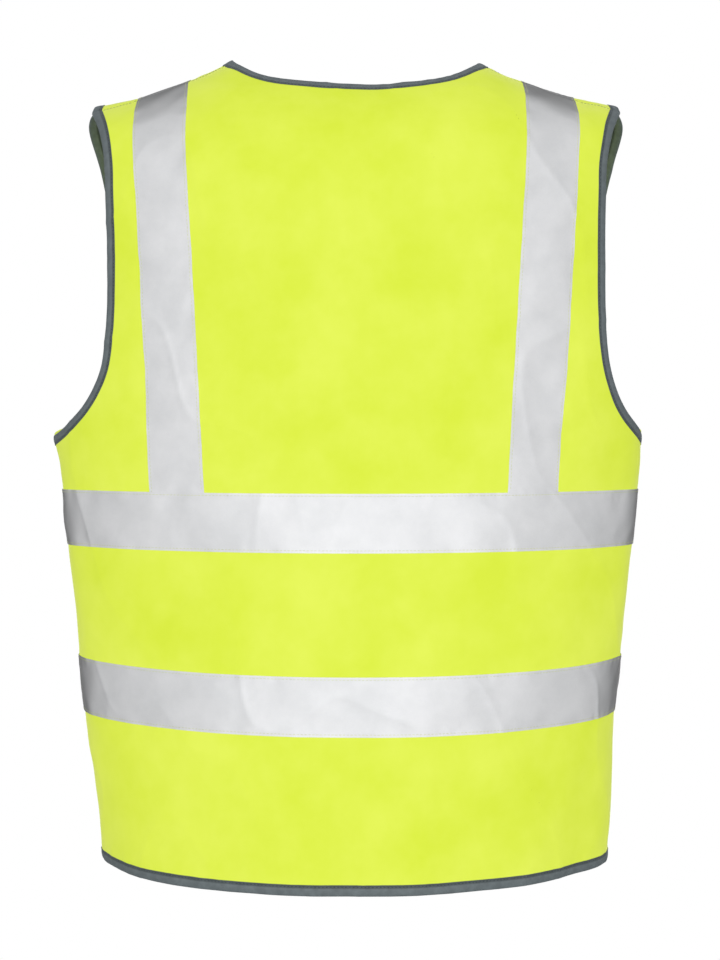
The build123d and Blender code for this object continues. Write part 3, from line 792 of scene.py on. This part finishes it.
def shoulder_rows(mirror):
    """Stitches just behind a shoulder seam: over the cloth, the brace, and the cloth again."""
    brace = (BRACE_TOP[0] - TAPE_WIDTH / 2, BRACE_TOP[0] + TAPE_WIDTH / 2)
    edges = [NECK_HALF_WIDTH + BINDING_WIDTH, *brace, SHOULDER_TIP[0] - BINDING_WIDTH]
    y = np.full(RIDGE_SAMPLES, SEAM_Y + SHOULDER_STITCH_INSET)
    rows = []
    for first, last, offset in zip(edges[:-1], edges[1:], (PANEL[1], BRACE[1], PANEL[1])):
        x = np.linspace(first + STITCH_LENGTH, last - STITCH_LENGTH, RIDGE_SAMPLES)
        rows.append((mirror(from_plan(x, y, "back")), "back", offset))
    return rows


def edge_seam(edge, side, turn, mirror):
    """A row of stitches along the binding of an edge."""
    edge = even(edge, side, CURVE_SAMPLES)
    inward = domain_step(edge, inward_of(edge, side, turn), side)
    spots = edge + inward * BINDING_STITCH_INSET
    spots = spots[np.abs(spots[:, 0]) < SEAM_ANGLE - STITCH_LENGTH]
    return mirror(spots), side, BINDING_STITCH_OFFSET


# ---------------------------------------------------------------- zip and labels

ZIP_DEPTH = 0.0016
CHAIN_BOTTOM = -0.4965              # lowest tooth, from the chain's top
CHAIN_TOP = -0.0040
TOOTH_PITCH = 0.0026
TAPE_FOOT = -0.519
TAPE_HEAD = 0.0026
BOX_HEAD = -0.5105
NOTCH_X = 0.0055
TAPE_ROW = 0.004
# Tooth seen from the front, in millimetres: body, neck, and the head that locks past the middle
TOOTH_OUTLINE = [
    (4.0, -0.55), (4.0, 0.55), (1.7, 0.62), (0.7, 0.36), (0.1, 0.36), (-0.35, 0.58),
    (-1.0, 0.42), (-1.15, 0.0), (-1.0, -0.42), (-0.35, -0.58), (0.1, -0.36), (0.7, -0.36), (1.7, -0.62),
]
TOOTH_LAYERS = [(-1.25, 0.82), (-0.95, 1.0), (0.95, 1.0), (1.25, 0.82)]    # (out in mm, scale)
# Section of the zip tape: (across, out) in millimetres, with the cord that the teeth are moulded on
ZIP_TAPE_SECTION = [
    (1.4, 0.0), (1.55, 0.40), (2.1, 0.52), (2.8, 0.34), (3.4, 0.20), (10.0, 0.20), (16.8, 0.20),
    (17.0, 0.0), (16.8, -0.20), (10.0, -0.20), (3.4, -0.20), (2.8, -0.34), (2.1, -0.52), (1.55, -0.40),
]


def on_chain(points):
    """Places points given as (across, out, up from the chain's top)."""
    ends = [np.array([0.0, ZIP_DEPTH - depth(z, "front"), z]) for z in (ZIP_TOP_Z, ZIP_FOOT_Z)]
    up = unit(ends[0] - ends[1])
    across = np.array([1.0, 0.0, 0.0])
    return ends[0] + points @ np.stack([across, np.cross(across, up), up])


def zip_teeth(name, hand, stagger):
    """A row of moulded teeth. hand is 1 on the wearer's left, -1 on the right."""
    outline = np.array(TOOTH_OUTLINE) * MM
    size = len(outline)
    middle = outline.mean(0)
    layers = []
    for out, scale in TOOTH_LAYERS:
        flat = middle + (outline - middle) * scale
        layers.append(np.stack([flat[:, 0] * hand, np.full(size, out * MM), flat[:, 1]], -1))
    one = np.concatenate(layers)
    heights = np.arange(CHAIN_BOTTOM + stagger, CHAIN_TOP, TOOTH_PITCH)
    points = one[None] + heights[:, None, None] * np.array([0.0, 0.0, 1.0])
    tube = grid_quads(len(TOOTH_LAYERS), size, 0, wrap=True)
    starts = np.arange(len(heights)) * len(one)
    faces = (tube[None] + starts[:, None, None]).reshape(-1, 4).tolist()
    cap = np.arange(size)
    for start in starts:
        faces.append((cap + start).tolist())
        faces.append((cap[::-1] + start + len(one) - size).tolist())
    return closed_piece(name, on_chain(points.reshape(-1, 3)), faces)


def zip_tape(name, hand, notched):
    section = np.array(ZIP_TAPE_SECTION) * MM
    heights = np.linspace(TAPE_FOOT, TAPE_HEAD, int((TAPE_HEAD - TAPE_FOOT) / TAPE_ROW))
    rows = []
    for height in heights:
        across = section[:, 0]
        if notched and height < BOX_HEAD:
            across = np.maximum(across, NOTCH_X)
        rows.append(np.stack([across * hand, section[:, 1], np.full(len(section), height)], -1))
    points = on_chain(np.stack(rows))
    faces = grid_quads(len(rows), len(section), 0, wrap=True).tolist()
    last = (len(rows) - 1) * len(section)
    faces.append(list(range(len(section))))
    faces.append(list(range(last, last + len(section)))[::-1])
    across = np.broadcast_to(section[:, 0], (len(rows), len(section)))
    lengths = np.stack([across, np.broadcast_to(heights[:, None], across.shape)], -1)
    return closed_piece(name, points, faces, lengths)


NECK_LABEL = {"half_width": 0.0275, "top_z": -0.060, "bottom_z": -0.100}
CARE_LABEL = {"near_y": 0.009, "far_y": 0.041, "top_z": -0.610, "bottom_z": -0.675}
LABEL_CELLS = 24
LABEL_CURL = 0.0016


def label(name, spots, curl):
    """Small woven label inside the back. curl is how far its grid stands in from the cloth."""
    return shell(name, spots, LABEL, "back", -curl)


def neck_label():
    x = np.linspace(-NECK_LABEL["half_width"], NECK_LABEL["half_width"], LABEL_CELLS)
    z = np.linspace(NECK_LABEL["top_z"], NECK_LABEL["bottom_z"], LABEL_CELLS)
    x, z = np.meshgrid(x, z)
    curl = LABEL_CURL * np.linspace(0, 1, LABEL_CELLS)[:, None] ** 2 * np.ones_like(x)
    return label("neck_label_cloth", from_square(x, z), curl)


def care_label():
    """Hangs from the side seam, so its free edge and corners lift a little."""
    z = np.linspace(CARE_LABEL["top_z"], CARE_LABEL["bottom_z"], LABEL_CELLS)
    y = np.linspace(CARE_LABEL["near_y"], CARE_LABEL["far_y"], LABEL_CELLS)
    y, z = np.meshgrid(y, z)
    spots = np.stack([np.arccos(y / depth(z, "back")), z - ROUND_Z], -1)
    lift = np.linspace(0, 1, LABEL_CELLS)
    return label("care_label_cloth", spots, LABEL_CURL * lift[None, :] ** 2 * (1 + lift[:, None]))


# ---------------------------------------------------------------- materials

WAVE_TURN = 20                      # radians that the wave texture turns through in one unit
THREAD_SHADE = 0.8
PLASTIC_LIGHT = 1.25


def new_material(name, **values):
    """Material with its shader's constants set, as (material, tree, shader)."""
    material = bpy.data.materials.new(name)
    material.use_nodes = True
    shader = material.node_tree.nodes["Principled BSDF"]
    for key, value in values.items():
        shader.inputs[key.replace("_", " ")].default_value = value
    return material, material.node_tree, shader


def add(tree, kind, links=(), **values):
    """New node with its values set and its inputs linked."""
    node = tree.nodes.new("ShaderNode" + kind)
    for key, value in values.items():
        if hasattr(node, key):
            setattr(node, key, value)
        else:
            node.inputs[key.replace("_", " ")].default_value = value
    for key, socket in dict(links).items():
        tree.links.new(socket, node.inputs[key])
    return node


def cloth_place(tree, scale):
    """Place on the cloth, from its own width and length in metres."""
    uv = add(tree, "UVMap", uv_map="cloth")
    return add(tree, "Mapping", {"Vector": uv.outputs[0]}, Scale=scale).outputs[0]


def object_noise(tree, scale, detail, roughness=0.5):
    place = add(tree, "TexCoord").outputs["Object"]
    noise = add(tree, "TexNoise", {"Vector": place}, Scale=scale, Detail=detail, Roughness=roughness)
    return noise.outputs[0]


def mapped(tree, value, start, end, first, last):
    """A value's range from start to end, carried over to first to last."""
    return add(tree, "MapRange", {"Value": value}, From_Min=start, From_Max=end, To_Min=first, To_Max=last)


def multiplied(tree, one, other):
    """Colour of one node, times that of another."""
    links = {"Color1": one.outputs[0], "Color2": other.outputs[0]}
    return add(tree, "MixRGB", links, blend_type="MULTIPLY", Fac=1.0)


def mix_colours(tree, factor, one, other):
    ramp = add(tree, "ValToRGB", {"Fac": factor})
    ramp.color_ramp.elements[0].color = one
    ramp.color_ramp.elements[1].color = other
    return ramp


def waves(tree, place, direction, period):
    """Smooth ridges across the cloth, one every period."""
    wave = add(tree, "TexWave", {"Vector": place}, wave_type="BANDS", bands_direction=direction)
    wave.inputs["Scale"].default_value = 2 * math.pi / WAVE_TURN / period
    return wave.outputs["Fac"]


def weave_bump(tree, shader, periods, strength, height, grain):
    """Bump of crossing threads, with a little uneven grain."""
    place = cloth_place(tree, (1, 1, 1))
    across = waves(tree, place, "X", periods[0])
    down = waves(tree, place, "Y", periods[1])
    threads = add(tree, "Math", {0: across, 1: down}, operation="MULTIPLY").outputs[0]
    rough = object_noise(tree, grain, 2)
    total = add(tree, "Math", {0: threads, 1: rough}, operation="ADD").outputs[0]
    bump = add(tree, "Bump", {"Height": total}, Strength=strength, Distance=height)
    tree.links.new(bump.outputs[0], shader.inputs["Normal"])


def fluorescent_cloth(name, painted_glow, share):
    """Warp-knitted polyester in fluorescent yellow, with a painted glow: its emission, in its own colour,
    flattens its shading.
    """
    material, tree, shader = new_material(
        name, Roughness=0.85, Specular_IOR_Level=0.25,
        Sheen_Weight=0.7, Sheen_Roughness=0.35, Sheen_Tint=(0.95, 1.0, 0.45, 1.0),
        Emission_Strength=painted_glow,
    )
    tone = object_noise(tree, 14.0, 4, 0.6)
    ramp = mix_colours(tree, tone, (0.73, 0.88, 0.055, 1.0), (0.81, 0.94, 0.105, 1.0))
    ramp.color_ramp.elements[0].position = 0.3
    ramp.color_ramp.elements[1].position = 0.7
    pigment = add(tree, "MixRGB", {"Color1": ramp.outputs[0]}, blend_type="MULTIPLY", Fac=1.0,
                  Color2=(share, share, share, 1.0))
    tree.links.new(pigment.outputs[0], shader.inputs["Base Color"])
    # Painted glow: the cloth's colour is also its emission, which lights it evenly.
    tree.links.new(ramp.outputs[0], shader.inputs["Emission Color"])
    weave_bump(tree, shader, (0.0011, 0.0008), 0.35, 0.00012, 2200.0)
    return material


def reflective_tape():
    """Silver tape faced with fine glass beads. Its colour has painted shade, darker where it turns away
    from the view.
    """
    material, tree, shader = new_material(
        "reflective_tape", Roughness=0.5, Specular_IOR_Level=0.3, Metallic=0.12,
    )
    tone = object_noise(tree, 22.0, 5, 0.62)
    ramp = mix_colours(tree, tone, (0.82, 0.83, 0.845, 1.0), (0.93, 0.935, 0.95, 1.0))
    ramp.color_ramp.elements[0].position = 0.32
    ramp.color_ramp.elements[1].position = 0.68
    beads = object_noise(tree, 5200.0, 1)
    tinted = multiplied(tree, ramp, mapped(tree, beads, 0.3, 0.7, 0.93, 1.0))
    # Painted shade: the colour falls to 0.42 of itself where the tape turns edge-on to the view.
    painted_shade_facing = add(tree, "LayerWeight", Blend=0.5).outputs["Facing"]
    shaded = multiplied(tree, tinted, mapped(tree, painted_shade_facing, 0.45, 0.9, 1.0, 0.42))
    tree.links.new(shaded.outputs[0], shader.inputs["Base Color"])
    weave_bump(tree, shader, (0.0006, 0.0006), 0.12, 0.00005, 4000.0)
    return material


def binding_cloth():
    """Grey woven polyester, with painted shade in the crease beside its stitches."""
    material, tree, shader = new_material(
        "binding_cloth", Roughness=0.8, Specular_IOR_Level=0.3,
        Sheen_Weight=0.2, Sheen_Roughness=0.5, Sheen_Tint=(0.8, 0.9, 0.95, 1.0),
    )
    uv = add(tree, "UVMap", uv_map="cloth").outputs[0]
    across = add(tree, "SeparateXYZ", {"Vector": uv}).outputs[1]
    share = mapped(tree, across, 0.0, BINDING_WIDTH, 0.0, 1.0)
    ramp = add(tree, "ValToRGB", {"Fac": share.outputs[0]})
    stops = ramp.color_ramp.elements
    stops[0].position, stops[0].color = 0.0, (0.155, 0.185, 0.195, 1.0)
    stops[1].position, stops[1].color = 1.0, (0.12, 0.145, 0.15, 1.0)
    # The dark stop at 0.82 lies on the stitch line: painted shade in the crease. The stop at 0.62 is a
    # little lighter.
    for position, colour in ((0.62, (0.175, 0.205, 0.215, 1.0)), (0.82, (0.055, 0.07, 0.075, 1.0))):
        stops.new(position).color = colour
    tone = object_noise(tree, 160.0, 3)
    tinted = multiplied(tree, ramp, mapped(tree, tone, 0.3, 0.7, 0.86, 1.1))
    tree.links.new(tinted.outputs[0], shader.inputs["Base Color"])
    weave_bump(tree, shader, (0.0007, 0.0005), 0.5, 0.00012, 2500.0)
    return material


def thread(name, colour):
    material, tree, shader = new_material(name, Roughness=0.6, Sheen_Weight=0.2)
    tone = object_noise(tree, 900.0, 2)
    dark = tuple(THREAD_SHADE * c for c in colour[:3]) + (1.0,)
    ramp = mix_colours(tree, tone, dark, colour)
    tree.links.new(ramp.outputs[0], shader.inputs["Base Color"])
    return material


def zip_cloth():
    material, tree, shader = new_material("zip_cloth", Roughness=0.85, Sheen_Weight=0.15)
    tone = object_noise(tree, 300.0, 3)
    ramp = mix_colours(tree, tone, (0.10, 0.125, 0.135, 1.0), (0.16, 0.19, 0.20, 1.0))
    tree.links.new(ramp.outputs[0], shader.inputs["Base Color"])
    weave_bump(tree, shader, (0.0009, 0.0009), 0.6, 0.00012, 2500.0)
    return material


def moulded_plastic(name, colour, roughness):
    material, tree, shader = new_material(name, Roughness=roughness, Specular_IOR_Level=0.5)
    tone = object_noise(tree, 700.0, 3)
    light = tuple(min(PLASTIC_LIGHT * c, 1.0) for c in colour[:3]) + (1.0,)
    ramp = mix_colours(tree, tone, colour, light)
    bump = add(tree, "Bump", {"Height": tone}, Strength=0.15, Distance=0.00005)
    tree.links.new(ramp.outputs[0], shader.inputs["Base Color"])
    tree.links.new(bump.outputs[0], shader.inputs["Normal"])
    return material


def painted_metal():
    """Die-cast slider and tab, lightly worn."""
    material, tree, shader = new_material("slider_metal", Metallic=0.85, Specular_IOR_Level=0.5)
    scratches = object_noise(tree, 450.0, 6, 0.7)
    ramp = mix_colours(tree, scratches, (0.12, 0.125, 0.13, 1.0), (0.22, 0.225, 0.23, 1.0))
    gloss = mapped(tree, scratches, 0.3, 0.7, 0.28, 0.45)
    tree.links.new(ramp.outputs[0], shader.inputs["Base Color"])
    tree.links.new(gloss.outputs[0], shader.inputs["Roughness"])
    return material


def label_cloth():
    material, tree, shader = new_material("label_cloth", Roughness=0.6, Sheen_Weight=0.3)
    tone = object_noise(tree, 120.0, 3)
    ramp = mix_colours(tree, tone, (0.74, 0.75, 0.74, 1.0), (0.84, 0.85, 0.84, 1.0))
    tree.links.new(ramp.outputs[0], shader.inputs["Base Color"])
    weave_bump(tree, shader, (0.0004, 0.0004), 0.3, 0.00006, 3000.0)
    return material


# Outer cloth: a painted glow of 0.66, over a lit share of 0.38 of its colour.
CLOTH = fluorescent_cloth("fluorescent_cloth", 0.66, 0.38)
# Copy of the cloth for its inner faces and the seam allowances: it glows less and is darker, as painted
# shade inside the vest.
SHADED_CLOTH_INSIDE = fluorescent_cloth("cloth_inside_painted_shade", 0.20, 0.60)
TAPE = reflective_tape()
BINDING = binding_cloth()
PALE_THREAD = thread("pale_thread", (0.80, 0.86, 0.42, 1.0))
GREY_THREAD = thread("grey_thread", (0.16, 0.19, 0.20, 1.0))
ZIP_CLOTH = zip_cloth()
ZIP_PLASTIC = moulded_plastic("zip_plastic", (0.10, 0.115, 0.12, 1.0), 0.42)
METAL = painted_metal()
LABEL_CLOTH = label_cloth()


# ---------------------------------------------------------------- the vest

# How each cloth is held: hung, laid, stretched or folded
HELD = {
    "panel": "hung", "care_label": "hung", "allowance": "hung", "neck_label": "laid",
    "upper_band": "stretched", "lower_band": "stretched", "brace": "stretched",
    "zip_tape": "stretched", "neck": "folded", "hem": "folded", "armhole": "folded",
}


def same(spots):
    return spots


HANDS = {"left": (1, same), "right": (-1, mirrored)}
DOWN = (0.0, 0.0, -1.0)
SHOULDER_IN = (-math.cos(SHOULDER_SLOPE), 0.0, math.sin(SHOULDER_SLOPE))
SHOULDER_OUT = (math.cos(SHOULDER_SLOPE), 0.0, -math.sin(SHOULDER_SLOPE))
SHOULDER_OUT_RIGHT = (-math.cos(SHOULDER_SLOPE), 0.0, -math.sin(SHOULDER_SLOPE))


def dressed(piece, material, node=None):
    """Gives a piece its material and one for its inner faces, and hides the CAD node that it stands for."""
    piece.data.materials.append(material)
    # Inner faces of the yellow cloth take its darker copy, which is painted shade; other pieces keep one
    # material.
    piece.data.materials.append(SHADED_CLOTH_INSIDE if material == CLOTH else material)
    if node:
        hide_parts(node)
    return piece


def declare_cloth(made):
    for name, piece in made.items():
        part = name.removeprefix("left_").removeprefix("right_")
        if part == "panel" or part not in HELD:
            continue


def build_back():
    """Makes every piece of the back."""
    made = {}
    made["panel"] = dressed(back_panel(), CLOTH, "back_panel")
    for word, line in (("upper", UPPER_BAND), ("lower", LOWER_BAND)):
        piece = band(f"{word}_tape_back", line, "back", same)
        made[f"{word}_band"] = dressed(piece, TAPE, f"{word}_band_back")
    for hand, (_, mirror) in HANDS.items():
        piece = brace(f"{hand}_brace_tape_back", "back", mirror)
        made[f"{hand}_brace"] = dressed(piece, TAPE, f"{hand}_brace_back")
        ends = (DOWN, SHOULDER_IN)
        piece = binding(f"{hand}_armhole_fold_back", armhole_edge("back"), "back", -1.0, mirror, ends)
        node = f"{hand}_armhole_binding_back"
        made[f"{hand}_armhole"] = dressed(piece, BINDING, node)
        piece = seam_allowance(f"{hand}_seam_allowance", mirror)
        made[f"{hand}_allowance"] = dressed(piece, SHADED_CLOTH_INSIDE)
    ends = (SHOULDER_OUT_RIGHT, SHOULDER_OUT)
    piece = binding("neck_fold_back", back_neck_edge(), "back", 1.0, same, ends)
    made["neck"] = dressed(piece, BINDING, "neck_binding_back")
    piece = binding("hem_fold_back", hem_edge("back"), "back", -1.0, same)
    made["hem"] = dressed(piece, BINDING, "hem_binding_back")
    lines = band_seams(UPPER_BAND, "back", same) + band_seams(LOWER_BAND, "back", same)
    for _, mirror in HANDS.values():
        lines += brace_seams("back", mirror)
    piece = stitching("tape_stitches_back", lines)
    made["tape_stitches"] = dressed(piece, PALE_THREAD)
    lines = [edge_seam(hem_edge("back"), "back", -1.0, same)]
    lines.append(edge_seam(back_neck_edge(), "back", 1.0, same))
    for _, mirror in HANDS.values():
        lines.append(edge_seam(armhole_edge("back"), "back", -1.0, mirror))
        lines += shoulder_rows(mirror)
    piece = stitching("edge_stitches_back", lines)
    made["edge_stitches"] = dressed(piece, GREY_THREAD)
    made["neck_label"] = dressed(neck_label(), LABEL_CLOTH, "neck_label")
    made["care_label"] = dressed(care_label(), LABEL_CLOTH, "care_label")
    for piece in made.values():
        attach(piece, "back")
    declare_cloth(made)


def build_front(hand):
    """Makes every piece of one front."""
    sign, mirror = HANDS[hand]
    made = {}
    piece = front_panel(f"{hand}_front_cloth", mirror)
    made["panel"] = dressed(piece, CLOTH, f"{hand}_front_panel")
    for word, line in (("upper", UPPER_BAND), ("lower", LOWER_BAND)):
        piece = band(f"{word}_tape_{hand}_front", line, "front", mirror)
        made[f"{word}_band"] = dressed(piece, TAPE, f"{word}_band_{hand}_front")
    piece = brace(f"{hand}_brace_tape_front", "front", mirror)
    made["brace"] = dressed(piece, TAPE, f"{hand}_brace_front")
    edges = {
        "armhole": (armhole_edge("front"), 1.0, (DOWN, SHOULDER_IN), f"{hand}_armhole_binding_front"),
        "neck": (front_neck_edge(), -1.0, (DOWN, SHOULDER_OUT), f"neck_binding_{hand}_front"),
        "hem": (hem_edge("front"), 1.0, (None, None), f"hem_binding_{hand}_front"),
    }
    for word, (edge, turn, ends, node) in edges.items():
        piece = binding(f"{word}_fold_{hand}_front", edge, "front", turn, mirror, ends)
        made[word] = dressed(piece, BINDING, node)
    lines = band_seams(UPPER_BAND, "front", mirror) + band_seams(LOWER_BAND, "front", mirror)
    lines += brace_seams("front", mirror)
    piece = stitching(f"tape_stitches_{hand}_front", lines)
    made["tape_stitches"] = dressed(piece, PALE_THREAD)
    lines = [edge_seam(edge, "front", turn, mirror) for edge, turn, _, _ in edges.values()]
    piece = stitching(f"edge_stitches_{hand}_front", lines)
    made["edge_stitches"] = dressed(piece, GREY_THREAD)
    piece = zip_tape(f"zip_tape_cloth_{hand}", sign, hand == "right")
    made["zip_tape"] = dressed(piece, ZIP_CLOTH, f"zip_tape_{hand}")
    stagger = TOOTH_PITCH / 2 if hand == "right" else 0.0
    piece = zip_teeth(f"zip_row_{hand}", sign, stagger)
    made["zip_teeth"] = dressed(piece, ZIP_PLASTIC, f"zip_teeth_{hand}")
    for piece in made.values():
        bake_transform(piece)
    declare_cloth(made)


CAD_MATERIALS = {
    "zip_slider": METAL, "zip_pull_tab": METAL, "retainer_box": ZIP_PLASTIC,
    "insertion_pin": ZIP_PLASTIC, "top_stop_left": ZIP_PLASTIC, "top_stop_right": ZIP_PLASTIC,
}

build_back()
for hand in HANDS:
    build_front(hand)
for node, material in CAD_MATERIALS.items():
    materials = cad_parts[node].data.materials
    materials.clear()
    materials.append(material)


# ---------------------------------------------------------------- studio

KEY_POWER = 80.0
LIGHT_DISTANCE = 2.9
LIGHT_SIZE = 3.0
LIGHT_Z = -0.45
AMBIENT = 0.28
FLOOR_Z = -1.4
FLOOR_SIZE = 14.0
CAMERA_PLACE = (-0.0037, 1.525, -0.368)
CAMERA_TILT = math.radians(0.694)
LENS = 61.95
WHITE = (1.0, 1.0, 1.0, 1.0)


def white_when_seen(tree, output, other):
    """Plain white to the camera, and another shader to everything else."""
    path = add(tree, "LightPath")
    white = tree.nodes.new("ShaderNodeBackground" if output == "world" else "ShaderNodeEmission")
    white.inputs["Color"].default_value = WHITE
    mix = add(tree, "MixShader")
    tree.links.new(path.outputs["Is Camera Ray"], mix.inputs[0])
    tree.links.new(other.outputs[0], mix.inputs[1])
    tree.links.new(white.outputs[0], mix.inputs[2])
    return mix


def set_world():
    world = bpy.data.worlds.new("studio")
    world.use_nodes = True
    bpy.context.scene.world = world
    tree = world.node_tree
    dim = tree.nodes["Background"]
    dim.inputs["Color"].default_value = WHITE
    dim.inputs["Strength"].default_value = AMBIENT
    mix = white_when_seen(tree, "world", dim)
    tree.links.new(mix.outputs[0], tree.nodes["World Output"].inputs["Surface"])


def add_floor():
    mesh = bpy.data.meshes.new("floor")
    half = FLOOR_SIZE / 2
    corners = [(-half, -half), (half, -half), (half, half), (-half, half)]
    mesh.from_pydata([(x, y, FLOOR_Z) for x, y in corners], [], [(0, 1, 2, 3)])
    floor = bpy.data.objects.new("floor", mesh)
    bpy.context.scene.collection.objects.link(floor)
    material, tree, shader = new_material("floor", Base_Color=(0.3, 0.3, 0.3, 1.0), Roughness=1.0)
    mix = white_when_seen(tree, "surface", shader)
    tree.links.new(mix.outputs[0], tree.nodes["Material Output"].inputs["Surface"])
    mesh.materials.append(material)


def add_light(name, y):
    light = bpy.data.lights.new(name, "AREA")
    light.energy = KEY_POWER
    light.size = LIGHT_SIZE
    lamp = bpy.data.objects.new(name, light)
    lamp.location = (0.0, y, LIGHT_Z)
    lamp.rotation_euler = (math.pi / 2, 0.0, math.pi if y > 0 else 0.0)
    lamp.visible_camera = False
    bpy.context.scene.collection.objects.link(lamp)


def add_camera():
    camera = bpy.data.cameras.new("camera")
    camera.lens = LENS
    holder = bpy.data.objects.new("camera", camera)
    holder.location = CAMERA_PLACE
    holder.rotation_euler = (math.pi / 2 - CAMERA_TILT, 0.0, math.pi)
    bpy.context.scene.collection.objects.link(holder)
    bpy.context.scene.camera = holder


set_world()
add_floor()
add_light("key", LIGHT_DISTANCE)
add_light("front_key", -LIGHT_DISTANCE)
add_camera()
bpy.context.scene.view_settings.view_transform = "Standard"
